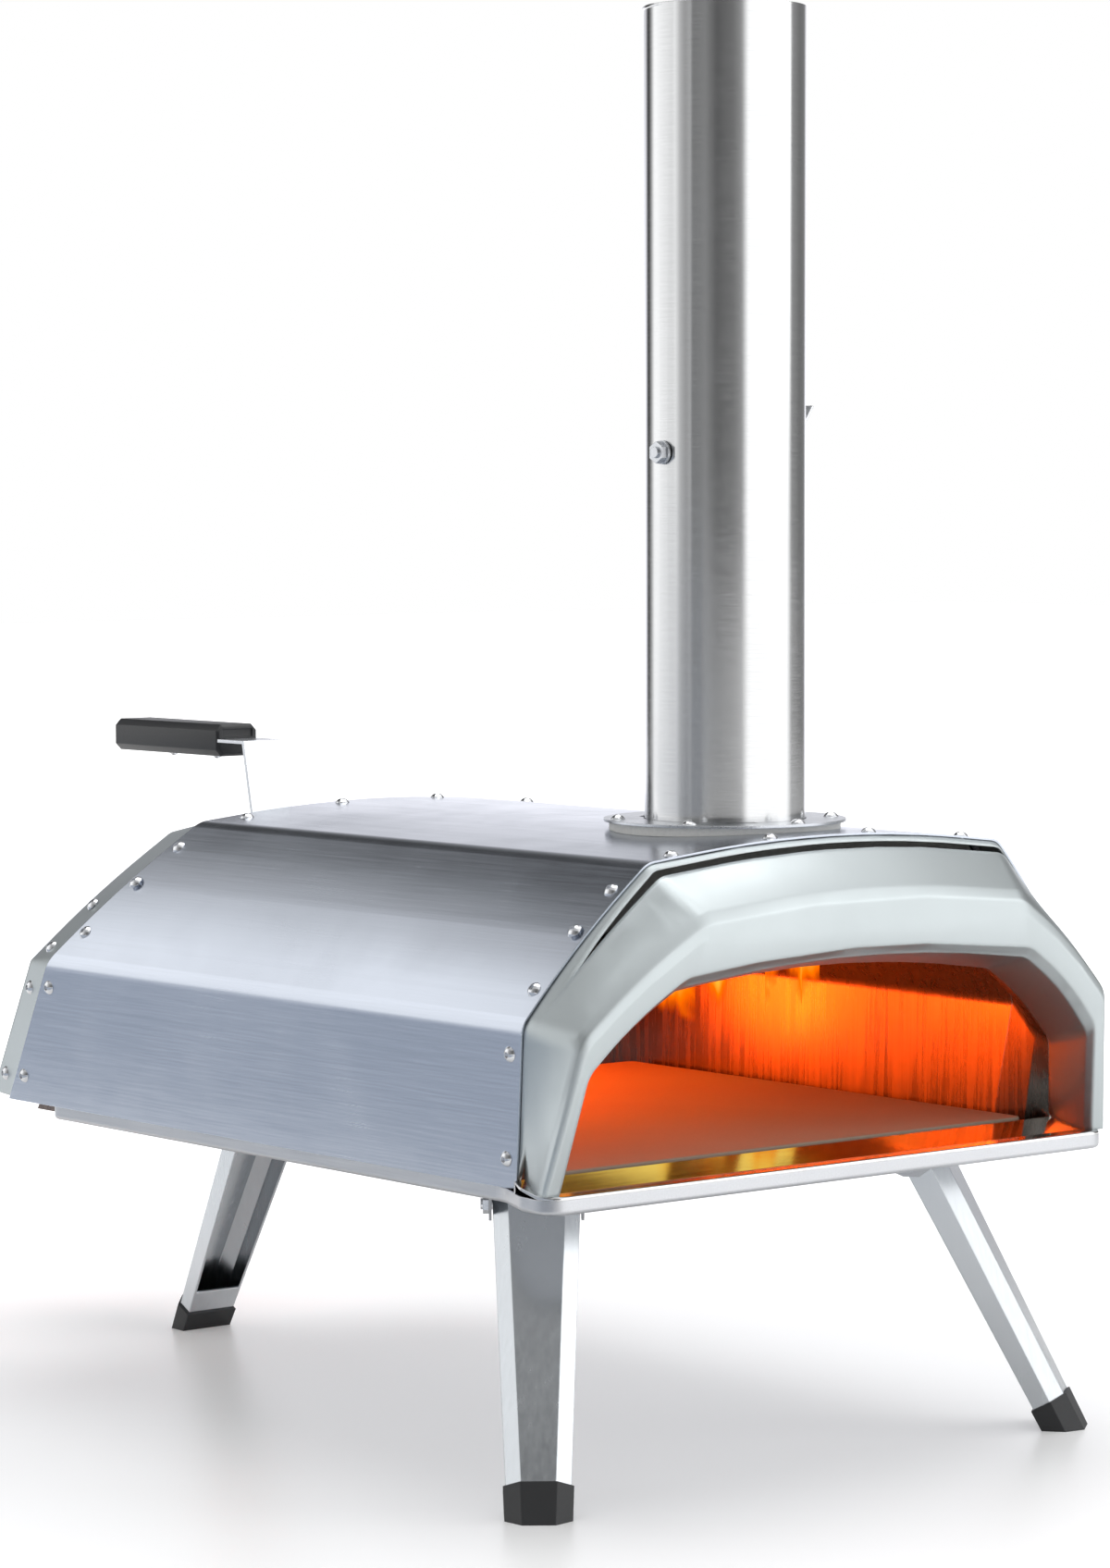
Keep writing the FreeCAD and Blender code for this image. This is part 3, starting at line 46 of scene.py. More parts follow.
# ---------------------------------------------------------------- camera and studio sizes
CAMERA_PLACE = (-1.7200, -2.21479, 0.5336)
CAMERA_YAW = 0.686
CAMERA_PITCH = 0.062
CAMERA_ROLL = -0.002
CAMERA_LENS = 108.24
SENSOR_LONG_SIDE = 36.0
CLIP_NEAR = 0.05
CLIP_FAR = 100.0
DOME_RADIUS = 4.0
DOME_CENTRE_Z = 0.30
DOME_SIDES = 64
DOME_RINGS = 32
FLOOR_HALF = 14.0
WHITE = (1.0, 1.0, 1.0)
WORLD_LIGHT = 0.50
FLOOR_COLOUR = (0.80, 0.80, 0.80)
FLOOR_ROUGHNESS = 0.35
# the floor's own glow rises from the oven outwards, so that the shadow stays and the rest is white
GLOW_FROM_M = 0.35
GLOW_TO_M = 1.5
GLOW_NEAR = 0.20
GLOW_FAR = 0.9
FLOOR_CARD_SIZE = (3.2, 4.6, 1.0)
FLOOR_CARD_PLACE = (-2.1, 1.1, 0.001)
FLOOR_CARD_COLOUR = (0.47, 0.52, 0.60)

# cards round the oven: (degrees from the camera's side, light level), at the horizon and overhead
CARD_STRENGTH = 2.3
LOW_CARDS = [(-180, 0.16), (-160, 0.03), (-140, 0.03), (-132, 0.20), (-122, 0.72), (-78, 0.52), (-66, 0.16),
             (-58, 0.05), (-50, 0.12), (-28, 0.15), (-12, 0.06), (10, 0.10), (22, 0.18), (30, 0.78),
             (92, 0.78), (102, 0.18), (125, 0.10), (155, 0.12), (180, 0.16)]
HIGH_CARDS = [(-180, 0.03), (-120, 0.03), (-80, 0.30), (-30, 0.26), (30, 0.45), (80, 0.6), (150, 0.55),
              (172, 0.2), (180, 0.03)]
LOW_CARDS_TOP = math.radians(35)
HIGH_CARDS_FOOT = math.radians(44)
BACKDROP_EDGES = (146, 158)
BACKDROP_COLOUR = (0.62, 0.62, 0.66)
BACKDROP_FULL = math.radians(5)
BACKDROP_GONE = math.radians(24)
UNDER_COLOUR = (0.27, 0.29, 0.34)
UNDER_FROM = math.radians(-5)
UNDER_TO = math.radians(-8)

# lamps: name, place, aim, size and power, then the embers' place, radius and power
SOFTBOXES = [("overhead_softbox", (0.3, 0.2, 2.6), (0.0, 0.0, 0.2), (2.0, 2.0), 34.0),
             ("right_softbox", (2.2, -1.9, 1.5), (0.0, -0.1, 0.3), (1.4, 1.8), 8.0),
             ("left_softbox", (-2.6, 0.4, 1.1), (0.0, 0.0, 0.3), (1.4, 1.8), 3.0)]
EMBERS = [("ember_left", (-0.10, -0.02, 0.250), 0.035, 2.6), ("ember_back", (0.03, 0.05, 0.225), 0.04, 1.7)]
EMBER_COLOUR = (1.0, 0.085, 0.004)

# flames: x, y and width of each sheet
FLAME_LOW_Z = 0.222
FLAME_HIGH_Z = 0.275
FLAME_ABOVE = 0.012
FLAME_WAVE = 0.006
FLAME_WAVE_RATE = 9.0
FLAME_TURN = -0.5
FLAME_TURN_STEP = 0.1
LICK_STRETCH = (30.0, 30.0, 16.0)
# how much fuller a sheet grows from its foot to its top, and the fullness over which it heats and appears
FLAME_HANG = (-0.30, 0.42)
FLAME_HEAT = (0.42, 0.95)
FLAME_FADE = (0.44, 0.60)
FLAME_STRENGTH = 1.25
FLAMES = [(0.095, -0.100, 0.10), (0.02, -0.130, 0.11), (-0.07, -0.12, 0.10), (0.06, 0.03, 0.13),
          (-0.07, 0.02, 0.12), (0.135, -0.17, 0.04)]
FLAME_COLOURS = [(0.0, (0.55, 0.02, 0.0)), (0.35, (1.0, 0.16, 0.0)), (0.7, (1.0, 0.55, 0.05)),
                 (1.0, (1.0, 0.72, 0.14))]

# ---------------------------------------------------------------- sizes of the modelled pieces
CHIMNEY_R = 0.0445
HEM_R = 0.0011
HEM_SIDES = 12
HEM_STEPS = 96
BEZEL_EDGE = 0.0018
GRIP_EDGE = 0.0015
EDGE_STEPS = 3
MERGE_GAP = 0.00002
FLAT_ANGLE = math.radians(2.0)
SHARP_ANGLE = math.radians(14.0)
CREASE_ANGLE = math.radians(40.0)

# ---------------------------------------------------------------- finish numbers shared by the materials
RELIEF_DEPTH = 0.0002
BAND_SHARE = 0.35
# eased edges are painted paler in the base colour: partly wear, partly a painted highlight where rounded
# edges catch the light
EDGE_WEAR_AND_HIGHLIGHT_SHARE = 0.5
CLOUD_SHARE = 0.12
CLOUD_DARKER = -0.2
METAL_EDGE_WEAR_AND_HIGHLIGHT = 0.25
GRAIN_EDGE_WEAR_AND_HIGHLIGHT = 0.35
METAL_SMEAR = 0.06
GRAIN_SMEAR = 0.08
GRAIN_SPREAD = 0.05
HEAT_WANDER = 0.08
HEAT_NOISE_SCALE = 14.0
CHIMNEY_LINE_SCALES = (60.0, 2600.0)


# ---------------------------------------------------------------- shader helpers
def add(tree, kind, **settings):
    """A new shader node with its plain settings, and its unlinked inputs set by name."""
    made = tree.nodes.new(kind)
    inputs = settings.pop("inputs", {})
    for name, value in settings.items():
        setattr(made, name, value)
    for name, value in inputs.items():
        made.inputs[name].default_value = value
    return made


def link(tree, source, target):
    """Joins an output socket to an input socket."""
    tree.links.new(source, target)


def maths(tree, operation, first, second=None):
    """A Math node. Each of its two values is either a number or an output socket."""
    made = add(tree, "ShaderNodeMath", operation=operation)
    for number, value in ((0, first), (1, second)):
        if value is None:
            continue
        if isinstance(value, (int, float)):
            made.inputs[number].default_value = value
        else:
            link(tree, value, made.inputs[number])
    return made.outputs[0]


def remap(tree, value, low, high, new_low, new_high):
    """A clamped, linear change of range."""
    made = add(tree, "ShaderNodeMapRange")
    for name, number in (("From Min", low), ("From Max", high), ("To Min", new_low), ("To Max", new_high)):
        made.inputs[name].default_value = number
    link(tree, value, made.inputs["Value"])
    return made.outputs["Result"]


def ramp(tree, value, stops):
    """A colour ramp. The stops are (position, colour) pairs, where a colour may be one grey number."""
    made = add(tree, "ShaderNodeValToRGB")
    elements = made.color_ramp.elements
    while len(elements) < len(stops):
        elements.new(0.5)
    for element, (position, colour) in zip(elements, stops):
        rgb = (colour,) * 3 if isinstance(colour, (int, float)) else colour
        element.position = position
        element.color = (*rgb, 1.0)
    link(tree, value, made.inputs["Fac"])
    return made.outputs["Color"]


def blend_colours(tree, share, first, second, mode="MIX"):
    """A colour Mix node. Each colour is a triple or an output socket, and share is a number or a socket."""
    made = add(tree, "ShaderNodeMix", data_type="RGBA", blend_type=mode)
    if isinstance(share, (int, float)):
        made.inputs["Factor"].default_value = share
    else:
        link(tree, share, made.inputs["Factor"])
    for name, colour in (("A", first), ("B", second)):
        socket = [s for s in made.inputs if s.name == name and s.type == "RGBA"][0]
        if isinstance(colour, (tuple, list)):
            socket.default_value = (*colour, 1.0)
        else:
            link(tree, colour, socket)
    return [s for s in made.outputs if s.type == "RGBA"][0]


def new_group(name, inputs, outputs):
    """An empty shader group with named sockets. inputs are (name, socket type, default)."""
    tree = bpy.data.node_groups.new(name, "ShaderNodeTree")
    for socket_name, kind, default in inputs:
        socket = tree.interface.new_socket(socket_name, in_out="INPUT", socket_type=kind)
        if default is not None:
            socket.default_value = default
    for socket_name, kind in outputs:
        tree.interface.new_socket(socket_name, in_out="OUTPUT", socket_type=kind)
    entry = tree.nodes.new("NodeGroupInput")
    leave = tree.nodes.new("NodeGroupOutput")
    return tree, entry, leave


def noise(tree, vector, scale, detail=3.0, rough=0.5, distortion=0.0):
    """Cloudy noise, from 0 to 1."""
    made = add(tree, "ShaderNodeTexNoise",
               inputs={"Scale": scale, "Detail": detail, "Roughness": rough, "Distortion": distortion})
    link(tree, vector, made.inputs["Vector"])
    return made.outputs["Fac"]


# ---------------------------------------------------------------- shared effects
def make_brushed_lines():
    """Fine scratches and broad bands from coordinates that a Mapping node has already stretched."""
    tree, entry, leave = new_group(
        "brushed_lines", [("Vector", "NodeSocketVector", None)],
        [("Line", "NodeSocketFloat"), ("Band", "NodeSocketFloat")])
    fine = noise(tree, entry.outputs["Vector"], 1.0, 5.0, 0.65)
    broad = noise(tree, entry.outputs["Vector"], 0.16, 2.0, 0.5)
    link(tree, remap(tree, fine, 0.3, 0.7, 0.0, 1.0), leave.inputs["Line"])
    link(tree, remap(tree, broad, 0.35, 0.65, 0.0, 1.0), leave.inputs["Band"])
    return tree


def make_handling_marks():
    """Soft smudges that every surface carries, from 0 to 1."""
    tree, entry, leave = new_group(
        "handling_marks", [("Vector", "NodeSocketVector", None)], [("Smudge", "NodeSocketFloat")])
    cloud = noise(tree, entry.outputs["Vector"], 9.0, 4.0, 0.6, 0.4)
    link(tree, remap(tree, cloud, 0.42, 0.72, 0.0, 1.0), leave.inputs["Smudge"])
    return tree


def make_soft_edges():
    """Normal of edges eased by a small radius, and a mask that is 1 on them."""
    tree, entry, leave = new_group(
        "soft_edges", [("Radius", "NodeSocketFloat", 0.0006)],
        [("Normal", "NodeSocketVector"), ("Edge", "NodeSocketFloat")])
    eased = add(tree, "ShaderNodeBevel", samples=4)
    link(tree, entry.outputs["Radius"], eased.inputs["Radius"])
    plain = add(tree, "ShaderNodeNewGeometry")
    dot = add(tree, "ShaderNodeVectorMath", operation="DOT_PRODUCT")
    link(tree, eased.outputs[0], dot.inputs[0])
    link(tree, plain.outputs["Normal"], dot.inputs[1])
    link(tree, remap(tree, dot.outputs["Value"], 0.995, 0.90, 0.0, 1.0), leave.inputs["Edge"])
    link(tree, eased.outputs[0], leave.inputs["Normal"])
    return tree


def make_speckle():
    """Granular surface: a fine height, and a sparse fleck mask."""
    tree, entry, leave = new_group(
        "speckle", [("Vector", "NodeSocketVector", None), ("Scale", "NodeSocketFloat", 900.0)],
        [("Height", "NodeSocketFloat"), ("Fleck", "NodeSocketFloat")])
    grain = add(tree, "ShaderNodeTexNoise", inputs={"Detail": 3.0, "Roughness": 0.6})
    fleck = add(tree, "ShaderNodeTexVoronoi")
    for made in (grain, fleck):
        link(tree, entry.outputs["Vector"], made.inputs["Vector"])
        link(tree, entry.outputs["Scale"], made.inputs["Scale"])
    link(tree, grain.outputs["Fac"], leave.inputs["Height"])
    link(tree, remap(tree, fleck.outputs["Distance"], 0.10, 0.28, 1.0, 0.0), leave.inputs["Fleck"])
    return tree


BRUSHED = make_brushed_lines()
MARKS = make_handling_marks()
EDGES = make_soft_edges()
SPECKLE = make_speckle()


def group(tree, made_group, vector=None, **numbers):
    """Places a shader group, with its vector linked and its numbers set."""
    made = tree.nodes.new("ShaderNodeGroup")
    made.node_tree = made_group
    if vector is not None:
        link(tree, vector, made.inputs["Vector"])
    for name, value in numbers.items():
        made.inputs[name].default_value = value
    return made


def new_material(name, **values):
    """A material with a Principled shader whose plain values are set on its own sockets."""
    material = bpy.data.materials.new(name)
    material.use_nodes = True
    tree = material.node_tree
    shader = tree.nodes["Principled BSDF"]
    for socket, value in values.items():
        shader.inputs[socket.replace("_", " ")].default_value = value
    place = add(tree, "ShaderNodeTexCoord").outputs["Object"]
    return material, tree, shader, place


def stretched(tree, place, scale, turn=(0.0, 0.0, 0.0)):
    """Object coordinates turned, then scaled differently along each axis."""
    made = add(tree, "ShaderNodeMapping", inputs={"Scale": scale, "Rotation": turn})
    link(tree, place, made.inputs["Vector"])
    return made.outputs["Vector"]


def around(tree, place, centre_y, radius, scale_round, scale_up):
    """Coordinates that run round an upright tube and along it, for lines brushed round it."""
    split = add(tree, "ShaderNodeSeparateXYZ")
    link(tree, place, split.inputs[0])
    angle = maths(tree, "ARCTAN2", split.outputs["X"], maths(tree, "SUBTRACT", split.outputs["Y"], centre_y))
    joined = add(tree, "ShaderNodeCombineXYZ")
    link(tree, maths(tree, "MULTIPLY", angle, radius * scale_round), joined.inputs["X"])
    link(tree, maths(tree, "MULTIPLY", split.outputs["Z"], scale_up), joined.inputs["Y"])
    return joined.outputs[0]


# ---------------------------------------------------------------- materials
def paler(colour, share):
    """A colour made lighter by a share of itself, or darker where the share is negative."""
    return tuple(min(1.0, c * (1.0 + share)) for c in colour)


def dress(tree, shader, shade, roughness, relief, marks, edges, smear, bump):
    """Joins colour, roughness and relief to the shader, in the same way for every finish."""
    link(tree, shade, shader.inputs["Base Color"])
    smeared = maths(tree, "MULTIPLY", marks.outputs["Smudge"], smear)
    link(tree, maths(tree, "ADD", roughness, smeared), shader.inputs["Roughness"])
    height = add(tree, "ShaderNodeBump", inputs={"Strength": bump, "Distance": RELIEF_DEPTH})
    link(tree, relief, height.inputs["Height"])
    link(tree, edges.outputs["Normal"], height.inputs["Normal"])
    link(tree, height.outputs[0], shader.inputs["Normal"])


def brushed_metal(name, colour, rough, lines, contrast, bump, aniso=0.0, turn=0.0, tangent="Z",
                  edge=0.0006, spread=0.08, extra=None):
    """Brushed stainless sheet. lines is a stretched-coordinate function or a scale for each axis."""
    material, tree, shader, place = new_material(name, Metallic=1.0, Anisotropic=aniso,
                                                 Anisotropic_Rotation=turn)
    vector = lines(tree, place) if callable(lines) else stretched(tree, place, lines)
    brushed = group(tree, BRUSHED, vector)
    marks = group(tree, MARKS, place)
    edges = group(tree, EDGES, Radius=edge)
    line = brushed.outputs["Line"]
    shade = blend_colours(tree, line, paler(colour, -contrast), paler(colour, contrast))
    shade = blend_colours(tree, maths(tree, "MULTIPLY", brushed.outputs["Band"], BAND_SHARE), shade, colour)
    # painted highlight and wear: eased edges painted paler than the sheet
    worn_and_highlit = maths(tree, "MULTIPLY", edges.outputs["Edge"], EDGE_WEAR_AND_HIGHLIGHT_SHARE)
    shade = blend_colours(tree, worn_and_highlit, shade, paler(colour, METAL_EDGE_WEAR_AND_HIGHLIGHT))
    if extra:
        shade = extra(tree, place, shade)
    roughness = remap(tree, line, 0.0, 1.0, rough - spread, rough + spread)
    dress(tree, shader, shade, roughness, line, marks, edges, METAL_SMEAR, bump)
    if aniso:
        along = add(tree, "ShaderNodeTangent", direction_type="RADIAL", axis=tangent)
        link(tree, along.outputs[0], shader.inputs["Tangent"])
    return material


def granular(name, colour, rough, scale, metallic, bump, fleck=None, fleck_share=0.3,
             edge=0.0008, variation=0.10, edge_wear_and_highlight_colour=None):
    """Cast, moulded or fired surface with a fine grain, faint clouding and eased edges, which are painted
    paler as partly wear and partly a painted highlight.
    """
    material, tree, shader, place = new_material(name, Metallic=metallic)
    grain = group(tree, SPECKLE, place, Scale=scale)
    marks = group(tree, MARKS, place)
    edges = group(tree, EDGES, Radius=edge)
    height = grain.outputs["Height"]
    shade = blend_colours(tree, height, paler(colour, -variation), paler(colour, variation))
    if fleck:
        flecked = maths(tree, "MULTIPLY", grain.outputs["Fleck"], fleck_share)
        shade = blend_colours(tree, flecked, shade, fleck)
    clouded = maths(tree, "MULTIPLY", marks.outputs["Smudge"], CLOUD_SHARE)
    shade = blend_colours(tree, clouded, shade, paler(colour, CLOUD_DARKER))
    # painted highlight and wear: eased edges painted paler than the surface
    worn_and_highlit = maths(tree, "MULTIPLY", edges.outputs["Edge"], EDGE_WEAR_AND_HIGHLIGHT_SHARE)
    shade = blend_colours(tree, worn_and_highlit, shade, edge_wear_and_highlight_colour or paler(colour, GRAIN_EDGE_WEAR_AND_HIGHLIGHT))
    roughness = remap(tree, height, 0.3, 0.7, rough - GRAIN_SPREAD, rough + GRAIN_SPREAD)
    dress(tree, shader, shade, roughness, height, marks, edges, GRAIN_SMEAR, bump)
    return material


def heat_tint(low, high, tints, share):
    """Straw and brown heat colours that change between two places along Y."""
    def tinted(tree, place, shade):
        split = add(tree, "ShaderNodeSeparateXYZ")
        link(tree, place, split.inputs[0])
        wander = maths(tree, "MULTIPLY", noise(tree, place, HEAT_NOISE_SCALE), HEAT_WANDER)
        along = maths(tree, "ADD", split.outputs["Y"], wander)
        tint = ramp(tree, remap(tree, along, low, high, 0.0, 1.0), tints)
        return blend_colours(tree, share, shade, tint, "MULTIPLY")
    return tinted


STEEL = (0.56, 0.575, 0.60)
ALONG = (900.0, 14.0, 900.0)
ACROSS = (30.0, 700.0, 700.0)
FLUE_Y = (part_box("chimney_tube")[0][1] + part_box("chimney_tube")[1][1]) / 2
CHAMBER_HEAT = heat_tint(-0.32, 0.12, [(0.0, (0.9, 0.88, 0.86)), (0.5, (0.85, 0.70, 0.50)),
                                       (1.0, (0.55, 0.42, 0.38))], 0.8)
FIRE_BOX_HEAT = heat_tint(0.13, 0.36, [(0.0, (0.78, 0.62, 0.45)), (0.4, (0.92, 0.85, 0.72)),
                                       (1.0, (1.0, 1.0, 1.0))], 0.7)


def chimney_lines(tree, place):
    """Lines brushed round the chimney."""
    return around(tree, place, FLUE_Y, CHIMNEY_R, *CHIMNEY_LINE_SCALES)


# brushed: name, colour, roughness, lines, contrast, bump. granular: name, colour, roughness, grain scale,
# metallic, bump, fleck colour and share
MATERIALS = {
    "shell": brushed_metal("shell_brushed_steel", (0.50, 0.535, 0.60), 0.21, ALONG, 0.05, 0.02,
                           0.45, 0.0, "Y", spread=0.03),
    "chimney": brushed_metal("chimney_brushed_steel", (0.58, 0.585, 0.59), 0.16, chimney_lines, 0.08, 0.03,
                             0.75, 0.25, "Z", spread=0.03),
    "damper": brushed_metal("damper_steel", STEEL, 0.28, (600.0, 600.0, 40.0), 0.08, 0.08),
    "flue": brushed_metal("flue_steel", (0.52, 0.54, 0.57), 0.30, (700.0, 30.0, 700.0), 0.08, 0.08),
    "panel": brushed_metal("panel_steel", (0.50, 0.51, 0.53), 0.34, ACROSS, 0.08, 0.08),
    "chamber": brushed_metal("chamber_steel", (0.32, 0.30, 0.28), 0.26, (260.0, 260.0, 7.0), 0.14, 0.03,
                             extra=CHAMBER_HEAT),
    "lip": brushed_metal("polished_lip", (0.60, 0.60, 0.60), 0.10, (20.0, 500.0, 500.0), 0.05, 0.04,
                         spread=0.03),
    "pan": brushed_metal("pan_steel", (0.50, 0.51, 0.53), 0.36, ALONG, 0.08, 0.08),
    "fire_box": brushed_metal("fire_box_steel", (0.50, 0.49, 0.48), 0.34, ACROSS, 0.10, 0.1,
                              extra=FIRE_BOX_HEAT),
    "hatch": brushed_metal("hatch_steel", STEEL, 0.27, (600.0, 24.0, 600.0), 0.08, 0.08),
    "screw": brushed_metal("screw_steel", (0.66, 0.67, 0.69), 0.14, (300.0, 300.0, 300.0), 0.05, 0.03,
                           edge=0.0003, spread=0.03),
    "leg": brushed_metal("leg_brushed_steel", (0.54, 0.565, 0.59), 0.22, (300.0, 300.0, 8.0), 0.05, 0.01,
                         edge=0.0010, spread=0.04),
    "bezel": granular("bezel_satin_cast", (0.46, 0.50, 0.51), 0.34, 1500.0, 0.92, 0.05, edge=0.0030,
                      variation=0.05),
    "stone": granular("cordierite_stone", (0.46, 0.34, 0.25), 0.80, 700.0, 0.0, 0.5, (0.30, 0.22, 0.15),
                      0.4, edge=0.0012),
    "fibre": granular("ceramic_fibre", (0.85, 0.84, 0.80), 0.95, 500.0, 0.0, 0.8),
    # the grip's and feet's lighter edge colours are partly wear and partly a painted highlight
    "grip": granular("grip_moulded", (0.012, 0.013, 0.015), 0.42, 1400.0, 0.0, 0.25, edge=0.0010,
                     edge_wear_and_highlight_colour=(0.05, 0.055, 0.06)),
    "rubber": granular("foot_moulded", (0.016, 0.017, 0.019), 0.50, 1200.0, 0.0, 0.3, edge=0.0010,
                       edge_wear_and_highlight_colour=(0.05, 0.05, 0.055)),
}

FINISH_NODES = {
    "shell": ["outer_shell"],
    "bezel": ["front_bezel", "rear_bezel"],
    "panel": ["rear_panel", "fire_box_flange", "hatch_frame", "flame_baffle"],
    "chamber": ["inner_chamber", "mouth_collar", "chamber_floor", "stone_rail_left", "stone_rail_right"],
    "lip": ["lip_plate"],
    "fibre": ["insulation_blanket", "flue_gasket"],
    "pan": ["base_pan", "leg_bracket_left", "leg_bracket_right", "leg_bracket_rear"],
    "stone": ["pizza_stone"],
    "flue": ["flue_collar"],
    "chimney": ["chimney_tube"],
    "damper": ["damper_" + part for part in ("shaft", "plate", "clips", "lever", "nuts", "washers")],
    "fire_box": ["fire_box", "fuel_tray", "fuel_grate", "tray_handle"],
    "hatch": ["hatch_lid", "hatch_strap"],
    "grip": ["hatch_grip", "tray_knob"],
    "screw": ["front_shell_screws", "rear_shell_screws", "rear_bezel_screws", "flange_screws",
              "bracket_screws", "strap_screws", "grip_screws", "tray_handle_screws",
              "pivot_bolt_left", "pivot_bolt_right", "pivot_bolt_rear",
              "pivot_nut_left", "pivot_nut_right", "pivot_nut_rear"],
    "leg": ["leg_left", "leg_right", "leg_rear"],
    "rubber": ["foot_left", "foot_right", "foot_rear"],
}


def paint(thing, finish):
    """One material on every slot of a piece."""
    slots = thing.data.materials
    if not slots:
        slots.append(MATERIALS[finish])
    for number in range(len(slots)):
        slots[number] = MATERIALS[finish]


def paint_nodes():
    """Every CAD node's finish."""
    for finish, names in FINISH_NODES.items():
        for name in names:
            paint(NODES[name], finish)


# ---------------------------------------------------------------- studio
def make_camera():
    """Camera at the studio's viewing angle."""
    data = bpy.data.cameras.new("studio_camera")
    data.lens = CAMERA_LENS
    data.sensor_width = SENSOR_LONG_SIDE
    data.dof.use_dof = False
    data.clip_start = CLIP_NEAR
    data.clip_end = CLIP_FAR
    forward = Vector((math.sin(CAMERA_YAW) * math.cos(CAMERA_PITCH),
                      math.cos(CAMERA_YAW) * math.cos(CAMERA_PITCH), -math.sin(CAMERA_PITCH)))
    right = forward.cross(Vector((0, 0, 1))).normalized()
    up = right.cross(forward)
    right, up = (right * math.cos(CAMERA_ROLL) + up * math.sin(CAMERA_ROLL),
                 up * math.cos(CAMERA_ROLL) - right * math.sin(CAMERA_ROLL))
    camera = bpy.data.objects.new("studio_camera", data)
    scene.collection.objects.link(camera)
    camera.matrix_world = Matrix((
        (right.x, up.x, -forward.x, CAMERA_PLACE[0]), (right.y, up.y, -forward.y, CAMERA_PLACE[1]),
        (right.z, up.z, -forward.z, CAMERA_PLACE[2]), (0.0, 0.0, 0.0, 1.0)))
    scene.camera = camera


def shown_white(tree):
    """1 for rays that come from the camera or from gloss and glass."""
    path = add(tree, "ShaderNodeLightPath")
    seen = maths(tree, "MAXIMUM", path.outputs["Is Camera Ray"], path.outputs["Is Glossy Ray"])
    return maths(tree, "MAXIMUM", seen, path.outputs["Is Transmission Ray"])


def make_world():
    """White where it is seen, and a softer pale light on everything else."""
    world = bpy.data.worlds.new("studio_world")
    world.use_nodes = True
    scene.world = world
    tree = world.node_tree
    background = tree.nodes["Background"]
    background.inputs["Color"].default_value = (*WHITE, 1.0)
    link(tree, remap(tree, shown_white(tree), 0.0, 1.0, WORLD_LIGHT, 1.0), background.inputs["Strength"])


def stage_material(name):
    """An empty node material for a stage piece, with its tree."""
    material = bpy.data.materials.new(name)
    material.use_nodes = True
    return material, material.node_tree


def gloss_only(thing):
    """Hides a stage piece from everything but gloss."""
    for ray in ("camera", "diffuse", "shadow", "transmission"):
        setattr(thing, "visible_" + ray, False)


def make_floor():
    """Pale floor: white where nothing shades it, and darker in the oven's shadow."""
    mesh = bmesh.new()
    bmesh.ops.create_grid(mesh, x_segments=1, y_segments=1, size=FLOOR_HALF)
    floor = as_object("studio_floor", mesh)
    material, tree = stage_material("studio_floor")
    shader = tree.nodes["Principled BSDF"]
    shader.inputs["Base Color"].default_value = (*FLOOR_COLOUR, 1.0)
    shader.inputs["Roughness"].default_value = FLOOR_ROUGHNESS
    shader.inputs["Emission Color"].default_value = (*WHITE, 1.0)
    reach = add(tree, "ShaderNodeVectorMath", operation="LENGTH")
    link(tree, add(tree, "ShaderNodeTexCoord").outputs["Object"], reach.inputs[0])
    lift = remap(tree, reach.outputs["Value"], GLOW_FROM_M, GLOW_TO_M, GLOW_NEAR, GLOW_FAR)
    link(tree, maths(tree, "MULTIPLY", shown_white(tree), lift), shader.inputs["Emission Strength"])
    floor.data.materials.append(material)


def as_object(name, mesh):
    """Turns a bmesh into a smooth object whose place is in its mesh."""
    for face in mesh.faces:
        face.smooth = True
    data = bpy.data.meshes.new(name)
    mesh.to_mesh(data)
    mesh.free()
    made = bpy.data.objects.new(name, data)
    scene.collection.objects.link(made)
    return made


def round_share(degrees):
    """Degrees from the camera's side as a share of a full turn, where the camera's side is 0.5."""
    return (degrees + 180.0) / 360.0


def round_ramp(tree, share, levels):
    """Light levels round the oven, given in degrees from the camera's side."""
    return ramp(tree, share, [(round_share(degrees), level) for degrees, level in levels])


def card_light(tree):
    """Colour of the dome, from the angle round the oven and the rise above its horizon."""
    place = add(tree, "ShaderNodeTexCoord").outputs["Object"]
    split = add(tree, "ShaderNodeSeparateXYZ")
    link(tree, place, split.inputs[0])
    toward = math.atan2(CAMERA_PLACE[1], CAMERA_PLACE[0])
    turned = add(tree, "ShaderNodeSeparateXYZ")
    link(tree, stretched(tree, place, (1.0, 1.0, 1.0), (0.0, 0.0, -toward)), turned.inputs[0])
    angle = maths(tree, "ARCTAN2", turned.outputs["Y"], turned.outputs["X"])
    share = remap(tree, angle, -math.pi, math.pi, 0.0, 1.0)
    above = maths(tree, "SUBTRACT", split.outputs["Z"], DOME_CENTRE_Z)
    rise = maths(tree, "ARCSINE", maths(tree, "DIVIDE", above, DOME_RADIUS))
    upper = remap(tree, rise, LOW_CARDS_TOP, HIGH_CARDS_FOOT, 0.0, 1.0)
    low_light = round_ramp(tree, share, LOW_CARDS)
    shade = blend_colours(tree, upper, low_light, round_ramp(tree, share, HIGH_CARDS))
    start, full = BACKDROP_EDGES
    behind = round_ramp(tree, share, [(-180, 1.0), (-full, 1.0), (-start, 0.0), (start, 0.0), (full, 1.0),
                                      (180, 1.0)])
    near = remap(tree, rise, BACKDROP_FULL, BACKDROP_GONE, 1.0, 0.0)
    shade = blend_colours(tree, maths(tree, "MULTIPLY", behind, near), shade, BACKDROP_COLOUR)
    under = remap(tree, rise, UNDER_FROM, UNDER_TO, 0.0, 1.0)
    return blend_colours(tree, under, shade, UNDER_COLOUR)


